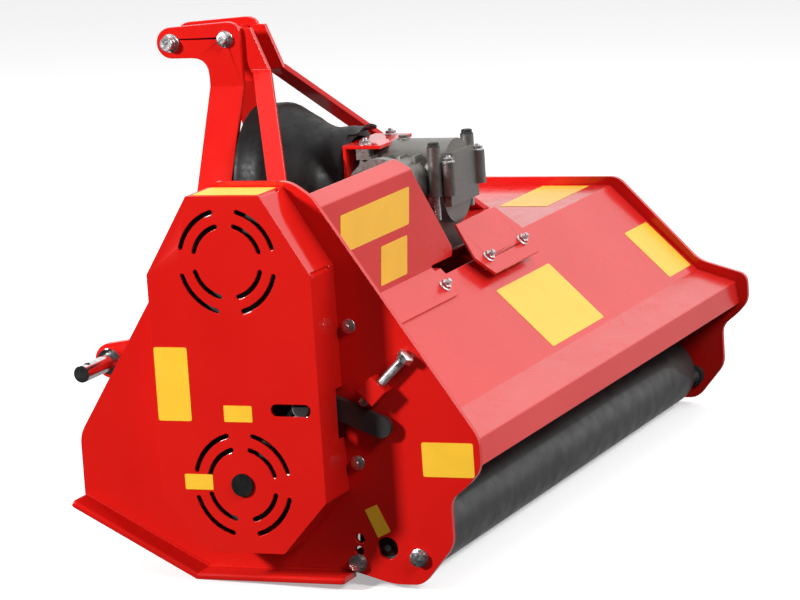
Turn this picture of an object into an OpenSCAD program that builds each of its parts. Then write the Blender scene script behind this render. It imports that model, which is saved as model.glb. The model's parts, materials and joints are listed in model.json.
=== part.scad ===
/* [Body] */
// clear width between the two side plates
working_w = 1060; // [800:10:1500]
// thickness of the side plates
plate_t = 8; // [5:0.5:12]
// height of the tall left plate
plate_top_z = 497; // [420:560]
// front end of the left plate's top edge
plate_top_front_y = 216; // [190:250]
// rear end of the left plate's top edge
plate_top_rear_y = 113; // [95:140]
// start of the left plate's long rear edge
plate_shoulder_y = 86; // [70:100]
// height where the long rear edge starts
plate_shoulder_z = 479; // [440:490]
// rearmost reach of both plates
plate_tab_y = -110; // [-140:-90]
// top of the rear tab
tab_top_z = 188; // [170:210]
// lower end of the rear tab
tab_low_z = 149; // [135:165]
// where the tab's underside starts
tab_under_y = -94; // [-105:-85]
// height of the tab's underside
tab_under_z = 131; // [122:145]
// rear edge of the lobe that carries the roller
lobe_rear_y = -69; // [-80:-55]
// height where the lobe's rear edge starts
lobe_top_z = 112; // [95:122]
// height where the lobe's rear edge turns in
lobe_turn_z = 55; // [40:70]
// rear end of the lobe's flat bottom
lobe_low_y = -27; // [-40:-15]
// front end of the lobe's flat bottom
lobe_front_y = 12; // [0:30]
// height of the lobe's flat bottom
lobe_bottom_z = 6; // [4:12]
// front edge of both plates
plate_front_y = 419; // [380:460]
// top of the plates' front edge
plate_front_high_z = 182; // [150:220]
// bottom of the plates' front edge
plate_front_low_z = 106; // [96:116]
// cut length of the rounded plate corners
plate_corner = 12; // [4:20]
// height of the low right plate
right_top_z = 331; // [325:360]
// rear end of the right plate's top edge
right_top_rear_y = 78; // [60:90]
// where the right plate turns along the lip
right_kink_y = -39; // [-55:-25]
// height where the right plate turns along the lip
right_kink_z = 209; // [200:225]

/* [Hood] */
// height of the flat top of the hood
hood_top_z = 319; // [300:323]
// rear end of the hood's flat top
hood_fold_y = 89; // [75:105]
// lower end of the hood's slope
lip_fold_y = -37; // [-50:-25]
// height of the slope's lower end
lip_fold_z = 196; // [185:205]
// rear end of the hood's lip
lip_edge_y = -93; // [-100:-85]
// height of the lip's rear end
lip_edge_z = 178; // [170:186]
// lower edge of the lip's folded face
lip_low_z = 146; // [140:160]
// rear reach of the lip's lower edge
lip_low_y = -97; // [-104:-90]
// front fold of the hood
hood_front_y = 316; // [300:322]
// thickness of the hood sheet
hood_t = 4; // [2:0.5:6]
// width of the opening behind the gearbox
hood_slot_w = 300; // [200:5:360]
// rear edge of that opening, along the slope
hood_slot_rear_y = 82; // [76:88]
// front edge of that opening
hood_slot_front_y = 126; // [110:128]
// sideways position of that opening
hood_slot_x = 12; // [-20:40]

/* [Front beam and hitch] */
// top of the square front beam
beam_top_z = 290; // [280:294]
// side of the square front beam
beam_side = 60; // [50:64]
// wall of the square tubes
tube_wall = 5; // [3:0.5:8]
// rear face of the front beam
beam_rear_y = 284; // [280:290]
// side of the square hitch beam
hitch_side = 50; // [40:60]
// rear face of the hitch beam
hitch_rear_y = 396; // [385:405]
// underside of the hitch beam
hitch_low_z = 206; // [200:212]
// distance between the shoulders of the lower pins
hitch_span = 683; // [600:720]
// rear height of the lower lug plates above their nose
lug_rise = 20; // [10:24]
// thickness of the lower lug plates
lug_t = 15; // [10:20]
// rounding radius of the lug nose
lug_r = 23; // [18:25]
// fore and aft place of the lower pins
lower_pin_y = 473; // [465:485]
// height of the lower pins
lower_pin_z = 232; // [228:238]
// radius of the lower pins
lower_pin_r = 11; // [9:0.5:12]
// reach of the lower pins beyond their shoulder
lower_pin_len = 78; // [60:100]
// radius of the lower pins' shoulder
lower_collar_r = 17; // [14:0.5:20]
// length of the lower pins' shoulder
lower_collar_len = 6; // [4:0.5:10]
// radius of the linch pin hole
linch_r = 5.5; // [3:0.25:6]
// distance of the linch pin hole from the pin's end
linch_in = 14; // [10:20]
// gap between the two headstock plates
mast_gap = 54; // [46:64]
// thickness of the headstock plates
mast_t = 8; // [6:0.5:12]
// fore and aft place of the top pin
top_pin_y = 501; // [490:515]
// height of the top pin
top_pin_z = 605; // [580:620]
// radius of the top pin
top_pin_r = 9.5; // [8:0.25:12]
// rounding radius of the ear's nose
ear_r = 21; // [18:0.5:26]
// rise of the ear's rear corner over the top pin
ear_rise = 28; // [21:35]
// rear edge of the headstock posts
mast_rear_y = 398; // [392:404]
// front edge of the headstock posts
mast_front_y = 447; // [440:450]
// drop from the top pin to the posts' bend
mast_bend_drop = 61; // [45:85]
// outward lean of the headstock posts
mast_lean = 26; // [15:32]
// cut length of the rounding under the ear
ear_fillet = 26; // [10:32]
// fore and aft place of the headstock bolt
mast_bolt_y = 420; // [414:430]
// rise of the headstock bolt over the top pin
mast_bolt_rise = 4; // [-3:9]
// width of the braces' upper end
brace_top_w = 22; // [18:26]
// width of the braces
brace_w = 27; // [22:36]
// height of the bend in the braces
brace_bend_z = 562; // [555:575]
// fore and aft place of the brace bend
brace_bend_y = 375; // [360:385]
// outward lean of the braces
brace_lean = 51; // [40:55]
// rearward lean of the braces
brace_rake = 33; // [26:38]
// fore and aft place of the braces' upper end
brace_top_y = 397; // [388:402]
// height of the braces' upper end
brace_top_z = 622; // [612:628]

/* [Skids] */
// thickness of the skid strips
skid_t = 8; // [5:0.5:12]
// underside of the skids in the machine's own frame
skid_sole_z = 12; // [8:16]
// outward reach of the skids
skid_reach = 34; // [20:45]
// rear end of the skids
skid_rear_y = 62; // [50:80]
// bend of the skids
skid_bend_y = 256; // [240:270]

/* [Drive] */
// fore and aft place of the rotor and the belt drive
drive_y = 169; // [166:0.5:172]
// height of the rotor axis
rotor_z = 141; // [138:0.5:150]
// height of the gearbox and upper pulley axis
drive_z = 412; // [408:0.5:416]
// radius of the drive shafts
shaft_r = 17.5; // [14:0.25:19]
// running gap of shafts in their bearings
run_gap = 0.05; // [0.02:0.01:0.1]
// clear gap between moving parts
clear_gap = 0.6; // [0.4:0.1:1]
// pitch radius of the upper pulley
drive_pulley_r = 70; // [60:72]
// ratio of the upper to the lower pulley
pulley_ratio_share = 1.25; // [1.1:0.05:1.5]
// width of one belt
belt_w = 13; // [10:0.5:14]
// thickness of one belt
belt_t = 8; // [6:0.5:10]
// width of a land between and beside the belts
land_w = 4; // [3:0.5:5]
// gap between the left plate and the pulleys
pulley_gap = 21; // [20:0.5:22]
// outer radius of the shaft tube
tube_r = 38; // [34:0.5:42]
// inner radius of the shaft tube
tube_bore_r = 32; // [28:0.5:33]
// radius of the shaft tube's flanges
tube_flange_r = 48; // [44:52]
// thickness of the shaft tube's flanges
tube_flange_t = 8; // [6:0.5:10]
// length of the upper shaft bearing
bearing_len = 24; // [18:30]

/* [Belt cover] */
// depth of the belt cover
cover_depth = 70; // [68:76]
// sheet thickness of the belt cover
cover_t = 3; // [2:0.5:4]
// half the width of the belt cover
cover_half = 107; // [104:110]
// half the width of the cover's top and bottom
cover_end_half = 48; // [40:60]
// top of the belt cover
cover_top_z = 491; // [488:494]
// upper corners of the cover's sides
cover_high_z = 396; // [380:405]
// lower corners of the cover's sides
cover_low_z = 121; // [110:135]
// bottom of the belt cover
cover_bottom_z = 57; // [45:62]
// radius of the outer vent slots
vent_r = 62; // [56:66]
// radius of the inner vent slots
vent_inner_r = 44; // [38:48]
// width of the vent slots
vent_w = 6; // [4:0.5:8]
// radius of the access cap
cap_r = 14; // [11:0.5:17]
// reach of the cap beyond the cover
cap_proud = 3; // [2:0.5:5]
// length of the window at the idler
window_len = 52; // [40:60]
// height of the window at the idler
window_h = 15; // [12:0.5:18]
// how far ahead of the idler's axle the window is centred
window_ahead = 10; // [4:14]
// how far below the idler's axle the window is centred
window_fall = 1; // [0:3]

/* [Belt tensioner] */
// radius of the idler pulley
idler_r = 14; // [11:18]
// height of the idler
idler_z = 234; // [228:240]
// height of the tensioner's pivot above the idler
pivot_up = 62; // [54:70]
// gap between the left plate and the tensioner arm
arm_gap = 5; // [4.5:0.5:6]
// thickness of the tensioner arm
arm_t = 9; // [7:0.5:10]
// half the width of the tensioner arm
arm_half = 13; // [11:0.5:15]
// rearward reach of the tensioner's tail from the pivot
tail_back = 80; // [70:90]
// drop of the tensioner's tail from the pivot
tail_drop = 94; // [88:98]
// radius of the tensioner's pins
arm_pin_r = 6; // [5:0.25:7]
// radius of the tension bolt
tension_r = 6; // [5:0.25:7]
// length of the tension bolt
tension_len = 88; // [80:100]
// tilt of the tension bolt
tension_tilt = 44; // [36:50]
// side of the block that carries the tension bolt
boss_side = 26; // [22:30]
// distance of that block from the arm's tail
boss_off = 26; // [25:30]
// distance of the bolt's touch from the arm's tail
push_at = 34; // [26:40]
// gap between the bolt's tip and the arm
tip_gap = 3.5; // [3:0.5:5]

/* [Rotor] */
// outer radius of the rotor tube
rotor_r = 44; // [38:0.5:48]
// inner radius of the rotor tube
rotor_bore_r = 37; // [30:0.5:40]
// gap from the side plates to the rotor tube
rotor_end_gap = 32; // [30:40]
// swing radius of the flail tips
flail_tip_r = 113; // [105:0.5:114]
// radius of the flail pins' circle
flail_pin_circle = 66; // [62:0.5:68]
// radius of the flail pins
flail_pin_r = 6; // [5:0.25:7]
// width of a flail head
flail_w = 56; // [46:62]
// thickness of a flail
flail_t = 16; // [12:0.5:18]
// width of a flail's neck
flail_neck = 26; // [22:0.5:30]
// thickness of a rotor lug
rotor_lug_t = 8; // [6:0.5:10]
// rounding radius of the rotor lugs
rotor_lug_r = 12; // [11:0.5:13]
// gap from the end flails to the plates
flail_end_gap = 52; // [46:80]

/* [Roller] */
// radius of the ground roller
roller_r = 50; // [44:0.5:52]
// fore and aft place of the roller axis
roller_y = 17; // [12:0.5:20]
// wall of the roller tube
roller_wall = 5; // [3:0.5:8]
// fore and aft place of the bracket's rear bolt
bracket_rear_y = -24; // [-30:-18]
// height of the bracket's rear bolt
bracket_rear_z = 40; // [34:46]
// fore and aft place of the bracket's front bolt
bracket_front_y = 56; // [50:62]
// height of the bracket's front bolt
bracket_front_z = 31; // [26:36]
// rise from one height hole to the next
bracket_step = 15; // [13:0.5:18]
// radius of the roller's axle ends
roller_axle_r = 12; // [10:0.5:14]
// gap from the side plates to the roller
roller_end_gap = 26; // [24:0.5:30]
// thickness of the roller brackets
bracket_t = 8; // [6:0.5:10]

/* [Gearbox] */
// radius of gearbox barrel
gear_r = 56; // [50:58]
// rear end of gearbox casing
gear_rear_y = 113; // [108:120]
// front end of gearbox casing
gear_front_y = 232; // [226:240]
// thickness of gearbox cover
gear_cover_t = 10; // [8:14]
// half width of gearbox cover
gear_cover_half = 50; // [44:54]
// thickness of gearbox foot
gear_foot_t = 14; // [10:0.5:18]
// half width of gearbox foot
gear_foot_half = 76; // [70:84]
// half width of gearbox body
gear_body_half = 46; // [42:50]
// radius of gearbox output neck
gear_neck_r = 38; // [36:42]
// reach of gearbox output neck from centre
gear_neck_x = 122; // [114:130]
// radius of gearbox input neck
gear_nose_r = 42; // [38:0.5:46]
// length of gearbox input neck
gear_nose_len = 14; // [13:24]
// pitch radius of crown gear
crown_r = 39; // [36:0.5:40]
// pitch radius of bevel pinion
pinion_r = 13; // [11:0.5:14]
// height of tall side bolts
tall_bolt_top_z = 465; // [460:480]
// sideways place of tall side bolts
tall_bolt_x = 60; // [58:64]
// fore and aft place of tall side bolts
tall_bolt_y = 120; // [119:124]
// radius of tall side bolts
tall_bolt_r = 5; // [4:6]
// front end of power take-off stub
stub_front_y = 338; // [325:350]

/* [Shield] */
// radius of shield's front rim
shield_r = 106; // [96:110]
// front end of shield
shield_front_y = 392; // [370:394]
// length of shield's wide front part
shield_rim_len = 40; // [30:60]
// radius of shield's neck
shield_neck_r = 72; // [62:76]
// length of shield's neck
shield_neck_len = 30; // [16:40]
// radius at shield's crease
shield_mid_r = 86; // [78:92]
// where shield's crease lies
shield_mid_y = 319; // [310:330]
// rear end of tongue over bracket
tongue_y = 236; // [234:246]
// half width of tongue
tongue_half = 30; // [20:31]
// wall of shield
shield_wall = 4; // [3:0.5:6]
// rise of the bracket's seat over the shafts
gear_seat = 50; // [48:52]
// sheet thickness of shield bracket
shield_bracket_t = 5; // [4:0.5:6]
// half width of shield bracket
shield_bracket_half = 56; // [50:60]
// rear end of shield bracket's top
shield_bracket_rear_y = 197; // [190:204]

/* [Guards] */
// front reach of front deflector
deflector_y = 398; // [385:405]
// lower edge of front deflector
deflector_low_z = 112; // [100:130]
// height of front deflector's fold
deflector_fold_z = 172; // [160:180]
// thickness of guard sheets
guard_t = 4; // [3:0.5:5]
// lower edge of shaft guard's foot
guard_foot_y = 57; // [52:62]
// height of guard's upper fold
guard_fold_z = 462; // [455:466]
// lean of guard's face
guard_lean = 4; // [2:0.5:6]
// right end of guard's foot from centre
guard_foot_x = 166; // [160:172]
// right end of guard's face low down
guard_wing_x = 96; // [90:104]
// right end of guard's face at its top
guard_top_x = 236; // [225:245]
// height of guard's wing corner
guard_wing_z = 340; // [335:348]
// length of guard's top strip
guard_strip = 24; // [18:30]
// rise angle of guard's top strip
guard_strip_rise = 30; // [20:40]
// height of access plate above slope
access_up = 12; // [9:0.5:15]
// left end of access plate from centre
access_left_x = -70; // [-78:-64]
// right end of access plate from centre
access_right_x = 126; // [120:132]
// left end of access plate's top edge
access_top_left_x = -33; // [-40:-26]
// right end of access plate's top edge
access_top_right_x = 110; // [100:116]
// upper reach of access plate along slope
access_high = 40; // [20:42]
// left corner of access plate along slope
access_left_s = -14; // [-20:-8]
// right corner of access plate along slope
access_right_s = -6; // [-12:0]
// lower reach of access plate along slope
access_low = -47; // [-54:-42]
// left end of access plate's lower edge
access_low_left_x = -56; // [-60:-50]
// right end of access plate's lower edge
access_low_right_x = 106; // [100:112]
// row of access plate's nuts along slope
access_nut_s = -22; // [-28:-18]
// left nut of access plate
access_nut_left_x = -36; // [-42:-30]
// right nut of access plate
access_nut_right_x = 90; // [84:96]

/* [Fasteners] */
// radius across corners of large hex heads
hex_r = 10.5; // [9:0.25:12]
// height of large hex heads
hex_h = 8; // [6:0.25:10]
// radius of large bolts
bolt_r = 6; // [5:0.25:7]
// radius across corners of small hex heads
small_hex_r = 7.5; // [6:0.25:9]
// height of small hex heads
small_hex_h = 6; // [4:0.25:8]
// radius of small bolts
small_bolt_r = 4; // [3:0.25:5]
// reach of right rotor bearing beyond its plate
bearing_reach = 40; // [36:44]
// row of stud nuts on left plate
stud_y = 48; // [44:52]
// height of upper stud nut
stud_high_z = 322; // [310:335]
// height of lower stud nut
stud_low_z = 155; // [145:165]
// radius of rotor bearings' flanges
bearing_flange_r = 56; // [50:60]
// thickness of rotor bearings' flanges
bearing_flange_t = 10; // [8:0.5:12]
// radius of rotor bearings' hubs
bearing_hub_r = 33; // [28:0.5:36]
// radius of a grease nipple
nipple_r = 4; // [3:0.25:5]
// length of a grease nipple
nipple_len = 9; // [7:0.5:12]

/* [Details] */
// thickness of a washer
washer_t = 2; // [1:0.5:3]
// radius of a washer
washer_r = 13; // [11:18]
// how far top link pin stands out beyond each ear
top_pin_out = 15; // [8:30]
// outer radius of headstock spacer
spacer_r = 13; // [9:18]
// thickness of a rib on gearbox casing
rib_t = 5; // [3:8]
// how far casing's ribs rise above its axis
rib_up = 41; // [39:44]
// how far out cover's side bosses stand
cover_boss_x = 53; // [52:54]
// reach of these bosses below axis
cover_boss_low = 12; // [8:20]
// reach of these bosses above axis
cover_boss_up = 32; // [31:36]
// radius of upright bosses on casing
boss_r = 9; // [7:12]
// how far out casing's side bosses stand
side_boss_x = 64; // [62:64]
// top of upright bosses
side_boss_top_z = 424; // [400:440]
// underside of upright bosses
side_boss_low_z = 352; // [340:370]
// underside of ears that hold tall bolts
tall_ear_low_z = 400; // [388:410]
// lower end of tall bolts
tall_bolt_low_z = 368; // [362:376]
// half width of ears that hold tall bolts
tall_ear_half = 9; // [8:11]
// rear edge of gearbox foot and lower body
gear_foot_rear_y = 128; // [127:140]
// lower edge of gearbox cover
gear_cover_low_z = 384; // [380:396]
// how far a belt stands out of its groove
belt_proud = 1.5; // [0.5:0.5:3]
// thickness of end discs of rotor and roller
disc_t = 8; // [5:12]
// radius of nut behind a lower hitch pin
nut_r = 18; // [15:22]
// height of nut behind a lower hitch pin
nut_h = 14; // [10:18]
// how far a stud stands out of a sheet
lift = 12; // [8:16]
// small step at shaft ends, pin heads and bracket rims
step = 3; // [2:4]
// radius of heads on tensioner's pins
arm_head_r = 10; // [8:12]
// thickness of heads on tensioner's pins
arm_head_t = 4; // [3:5]
// radius of spare height holes in side plates
hole_r = 6; // [4:7]
// radius of shaft holes in side plates
shaft_hole_r = 23.5; // [20:0.5:28]
// radius of hole for roller's grease nipple
nipple_hole_r = 14; // [10:18]
// radial length of a flail's head
flail_head_h = 20; // [14:26]
// half depth of a flail's head
flail_head_half = 11; // [8:14]
// where guard's foot bolt sits along machine
foot_bolt_y = 70; // [64:80]
// guard's foot bolt, left of middle
foot_bolt_x = 181; // [176:300]
// radius of access plate's spacer tubes
spacer_tube_r = 9; // [7:12]
// radius of round reliefs at cover's folds
relief_r = 3; // [2:4]
// guard's face ahead of hood's fold
guard_edge = 4; // [2:8]
// thickness of crown gear behind its face
gear_back = 11; // [8:14]
// length of pinion behind its face
pinion_back = 7; // [4:10]
// radius of hollow in gearbox casing
cavity_r = 43; // [41:46]
// radius of cap on casing's right side
cap_neck_r = 36; // [30:40]
// how far right casing's cap reaches
cap_neck_x = 60; // [54:64]
// corner cut of gearbox cover
cover_chamfer = 16; // [15:20]
// radius of hole in bracket and shield
nose_hole_r = 30; // [24:36]
// lower edge of shield's bracket
bracket_low_z = 352; // [340:360]
// width of a spline groove on input stub
spline_w = 8; // [6:10]
// depth of a spline groove on input stub
spline_deep = 3; // [2:4]
// rim round bolts of roller brackets
bracket_rim = 15; // [13:18]
// radius round axle of roller brackets
bracket_eye_r = 24; // [20:28]
// start of a vent slot in its quarter, degrees
vent_from = 16; // [10:20]
// end of a vent slot in its quarter, degrees
vent_to = 74; // [70:80]
// share of gear's radius where its face starts
face_share = 0.62; // [0.5:0.02:0.7]
// share of cover's depth that reliefs take
relief_share = 0.8; // [0.5:0.1:0.9]
// most of an edge that a rounded corner may take
round_share = 0.45; // [0.3:0.05:0.48]

/* [Hidden] */
$fn = 72;
// number of points that round a sheet corner
round_n = 5;
// number of flats that round the end of a bar
end_n = 16;
// number of flats along a vent slot
vent_n = 6;
// number of flails and the turn from one to the next
flail_n = 10;
flail_turn = 108;
// number of ribs and of spline grooves
rib_n = 4;
spline_n = 6;

half_w = working_w / 2;
plate_out = half_w + plate_t;
left_reach = plate_out + cover_depth + cap_proud;
right_reach = plate_out + bearing_reach;
shift_x = (left_reach - right_reach) / 2;
skid_top_z = skid_sole_z + skid_t;
skid_line = [[skid_rear_y, skid_top_z], [skid_bend_y, skid_top_z], [plate_front_y, plate_front_low_z]];
skid_heel = miter(skid_line, 1, -skid_t);
heel_run = [skid_heel[0] - roller_y, roller_r - skid_heel[1]];
stand_deg = asin(roller_r / norm(heel_run)) - atan2(heel_run[1], heel_run[0]);
stand_up = roller_r + roller_y * sin(stand_deg) - roller_r * cos(stand_deg);
front_reach = top_pin_y * cos(stand_deg) + top_pin_z * sin(stand_deg) + ear_r;
rear_reach = plate_tab_y * cos(stand_deg) + (tab_low_z + plate_corner) * sin(stand_deg);
shift_y = -(front_reach + rear_reach) / 2;
slope_run = hood_fold_y - lip_fold_y;
slope_rise = hood_top_z - lip_fold_z;
slope_deg = atan2(slope_rise, slope_run);
beam_low_z = beam_top_z - beam_side;
beam_front_y = beam_rear_y + beam_side;
hitch_top_z = hitch_low_z + hitch_side;
hitch_front_y = hitch_rear_y + hitch_side;
lug_out_x = hitch_span / 2 - lower_collar_len;
mast_in_x = mast_gap / 2;
ear_top_z = top_pin_z + ear_rise;
mast_bend_z = top_pin_z - mast_bend_drop;
mast_bolt_z = top_pin_z + mast_bolt_rise;
front_run = plate_front_y - plate_top_front_y;
front_rise = plate_top_z - plate_front_high_z;
right_top_front_y = plate_front_y - (right_top_z - plate_front_high_z) * front_run / front_rise;
rotor_pulley_r = drive_pulley_r / pulley_ratio_share;
belt_span = drive_z - rotor_z;
belt_sin = (drive_pulley_r - rotor_pulley_r) / belt_span;
belt_cos = sqrt(1 - belt_sin * belt_sin);
pulley_w = 2 * belt_w + 3 * land_w;
pulley_in_x = plate_out + pulley_gap;
pulley_out_x = pulley_in_x + pulley_w;
shaft_end_x = pulley_out_x + step;
cover_face_x = plate_out + cover_depth;
idler_reach = rotor_pulley_r + belt_t / 2 + idler_r + clear_gap;
idler_y = drive_y - (idler_reach + belt_sin * (idler_z - rotor_z)) / belt_cos;
pivot_z = idler_z + pivot_up;
tail_y = idler_y - tail_back;
tail_z = pivot_z - tail_drop;
arm_in_x = plate_out + arm_gap;
arm_out_x = arm_in_x + arm_t;
window_run = (window_len - window_h) / 2;
arm_mid_x = (arm_in_x + arm_out_x) / 2;
arm_way = unit([idler_y - tail_y, idler_z - tail_z]);
arm_edge = [tail_y, tail_z] + push_at * arm_way + arm_half * [-arm_way[1], arm_way[0]];
bolt_tip_y = arm_edge[0] - tip_gap * cos(tension_tilt);
bolt_tip_z = arm_edge[1] + tip_gap * sin(tension_tilt);
rotor_end_x = half_w - rotor_end_gap;
flail_pitch = (working_w - 2 * flail_end_gap - flail_w) / (flail_n - 1);
roller_end_x = half_w - roller_end_gap;
axle_end_x = half_w - washer_t;
gear_seat_z = drive_z + gear_seat;
nose_front_y = gear_front_y + gear_nose_len;
shield_rear_y = nose_front_y + shield_bracket_t;
gear_foot_top_z = hood_top_z + gear_foot_t;
gear_cover_y = gear_rear_y - gear_cover_t;
guard_low = [guard_foot_y, slope_z(guard_foot_y)];
guard_knee = [hood_fold_y + guard_edge, slope_z(hood_fold_y + guard_edge)];
guard_fold = [guard_knee[0] - (guard_fold_z - guard_knee[1]) * tan(guard_lean), guard_fold_z];
guard_end = guard_fold + guard_strip * [cos(guard_strip_rise), sin(guard_strip_rise)];

// height of the hood's slope at a place
function slope_z(y) = lip_fold_z + (y - lip_fold_y) * slope_rise / slope_run;
function unit(v) = v / norm(v);
function side(a, b) = let (d = unit(b - a)) [-d[1], d[0]];
// one rounded corner of an outline
function corner(a, p, b, c) =
    let (ca = min(c, norm(a - p) * round_share))
    let (cb = min(c, norm(b - p) * round_share))
    let (p0 = p + unit(a - p) * ca)
    let (p2 = p + unit(b - p) * cb)
    [for (k = [0:round_n]) let (s = k / round_n) p0 * (1 - s) * (1 - s) + p * 2 * s * (1 - s) + p2 * s * s];
// an outline with rounded corners
function soft(pts, cuts) = [for (i = [0:len(pts) - 1])
    let (n = len(pts))
    each cuts[i] == 0 ? [pts[i]] : corner(pts[(i + n - 1) % n], pts[i], pts[(i + 1) % n], cuts[i])];
// points along an arc, with and without its ends
function arc(c, r, a0, a1, n) = [for (k = [0:n]) let (a = a0 + (a1 - a0) * k / n) c + r * [cos(a), sin(a)]];
function arc_between(c, r, a0, a1, n) = [for (k = [1:n - 1]) let (a = a0 + (a1 - a0) * k / n)
    c + r * [cos(a), sin(a)]];
// a corner of a bent strip on its far side
function miter(pts, i, t) =
    i == 0 ? pts[0] + side(pts[0], pts[1]) * t :
    i == len(pts) - 1 ? pts[i] + side(pts[i - 1], pts[i]) * t :
    let (n1 = side(pts[i - 1], pts[i]))
    let (n2 = side(pts[i], pts[i + 1]))
    pts[i] + (n1 + n2) * t / (1 + n1 * n2);
// a bent sheet's section from one face's line
function strip(pts, t) = concat(pts, [for (i = [len(pts) - 1:-1:0]) miter(pts, i, t)]);
// the same, with its first end cut level
function strip_flat(pts, t) =
    let (n1 = side(pts[0], pts[1]))
    concat(pts, [for (i = [len(pts) - 1:-1:1]) miter(pts, i, t)], [pts[0] + [t / n1[0], 0]]);
// a closed outline moved in by a wall thickness
function inset(pts, t) = [for (i = [0:len(pts) - 1])
    let (n = len(pts))
    let (n1 = side(pts[(i + n - 1) % n], pts[i]))
    let (n2 = side(pts[i], pts[(i + 1) % n]))
    pts[i] + (n1 + n2) * t / (1 + n1 * n2)];

// stands the machine on its roller and skid heels
module place() {
    translate([shift_x, shift_y, stand_up])
        rotate([-stand_deg, 0, 0])
            children();
}
// a fore and aft section drawn out sideways
module along_x(x0, x1) {
    translate([x0, 0, 0])
        rotate([90, 0, 90])
            linear_extrude(height = x1 - x0)
                children();
}
module rod_x(x0, x1, r, y, z) {
    translate([x0, y, z])
        rotate([0, 90, 0])
            cylinder(h = x1 - x0, r = r);
}
module rod_y(y0, y1, r, x, z) {
    translate([x, y0, z])
        rotate([-90, 0, 0])
            cylinder(h = y1 - y0, r = r);
}
module rod_z(z0, z1, r, x, y) {
    translate([x, y, z0])
        cylinder(h = z1 - z0, r = r);
}
module hex_x(x0, x1, r, y, z) {
    translate([x0, y, z])
        rotate([0, 90, 0])
            cylinder(h = x1 - x0, r = r, $fn = 6);
}
module hex_z(z0, z1, r, x, y) {
    translate([x, y, z0])
        cylinder(h = z1 - z0, r = r, $fn = 6);
}
module block(x0, x1, y0, y1, z0, z1) {
    translate([x0, y0, z0])
        cube([x1 - x0, y1 - y0, z1 - z0]);
}
// a flat bar with round ends between two points
module link(a, b, r) {
    d = atan2(b[1] - a[1], b[0] - a[0]);
    turns = [for (k = [0:end_n]) 180 * k / end_n - 90];
    polygon(concat([for (t = turns) b + r * [cos(d + t), sin(d + t)]],
        [for (t = turns) a - r * [cos(d + t), sin(d + t)]]));
}

// lower and rear outline that both side plates share
plate_low = [[plate_front_y, plate_front_high_z], [plate_front_y, plate_front_low_z], [skid_bend_y,
    skid_top_z],
    [skid_rear_y, skid_top_z], [lobe_front_y, lobe_bottom_z], [lobe_low_y, lobe_bottom_z],
    [lobe_rear_y, lobe_turn_z], [lobe_rear_y, lobe_top_z], [tab_under_y, tab_under_z],
    [plate_tab_y, tab_low_z], [plate_tab_y, tab_top_z]];
plate_low_cuts = [plate_corner, 0, 0, 0, plate_corner, plate_corner, plate_corner, plate_corner,
    plate_corner, plate_corner, plate_corner];
left_top = [[plate_shoulder_y, plate_shoulder_z], [plate_top_rear_y, plate_top_z],
    [plate_top_front_y, plate_top_z]];
right_top = [[right_kink_y, right_kink_z], [right_top_rear_y, right_top_z], [right_top_front_y, right_top_z]];
top_cuts = [plate_corner, plate_corner, plate_corner];

module plate_holes() {
    translate([bracket_rear_y, bracket_rear_z])
        circle(bolt_r);
    translate([bracket_front_y, bracket_front_z])
        circle(bolt_r);
    translate([bracket_front_y - washer_t, bracket_front_z + bracket_step])
        circle(hole_r);
    translate([bracket_front_y - 2 * washer_t, bracket_front_z + 2 * bracket_step])
        circle(hole_r);
    translate([roller_y, roller_r])
        circle(nipple_hole_r);
    translate([drive_y, rotor_z])
        circle(shaft_hole_r);
}
module left_side_plate() {
    color([0.80, 0.08, 0.06])
        place()
            along_x(-plate_out, -half_w)
                difference() {
                    polygon(soft(concat(plate_low, left_top), concat(plate_low_cuts, top_cuts)));
                    plate_holes();
                    translate([drive_y, drive_z])
                        circle(shaft_hole_r);
                }
}
module right_side_plate() {
    color([0.80, 0.08, 0.06])
        place()
            along_x(half_w, plate_out)
                difference() {
                    polygon(soft(concat(plate_low, right_top), concat(plate_low_cuts, top_cuts)));
                    plate_holes();
                }
}
module hood_sheet() {
    line = [[hood_front_y, beam_top_z], [hood_front_y, hood_top_z], [hood_fold_y, hood_top_z],
        [lip_fold_y, lip_fold_z], [lip_edge_y, lip_edge_z], [lip_low_y, lip_low_z]];
    color([0.84, 0.15, 0.14])
        place()
            difference() {
                along_x(-half_w, half_w)
                    polygon(strip(line, hood_t));
                block(hood_slot_x - hood_slot_w / 2, hood_slot_x + hood_slot_w / 2, hood_slot_rear_y,
                    hood_slot_front_y, lip_fold_z, drive_z);
            }
}
module front_beam() {
    color([0.78, 0.08, 0.06])
        place()
            difference() {
                block(-half_w, half_w, beam_rear_y, beam_front_y, beam_low_z, beam_top_z);
                block(-half_w, half_w, beam_rear_y + tube_wall, beam_front_y - tube_wall,
                    beam_low_z + tube_wall,
                    beam_top_z - tube_wall);
            }
}
module front_deflector() {
    line = [[deflector_y, deflector_low_z], [deflector_y, deflector_fold_z], [beam_front_y, beam_low_z]];
    color([0.78, 0.08, 0.06])
        place()
            along_x(-half_w, half_w)
                polygon(strip(line, guard_t));
}
module shaft_guard() {
    color([0.84, 0.15, 0.14])
        place()
            difference() {
                along_x(-half_w, -guard_wing_x)
                    polygon(strip([guard_low, guard_knee, guard_fold, guard_end], guard_t));
                block(-guard_foot_x, 0, lip_fold_y, plate_top_front_y, lip_fold_z,
                    guard_knee[1] + guard_edge);
                translate([0, plate_top_front_y, 0])
                    rotate([90, 0, 0])
                        linear_extrude(height = plate_top_front_y - lip_fold_y)
                            polygon([[-guard_wing_x, guard_wing_z], [-guard_top_x, guard_fold_z],
                                [-guard_top_x, plate_top_z], [0, plate_top_z], [0, guard_wing_z]]);
            }
}
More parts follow.
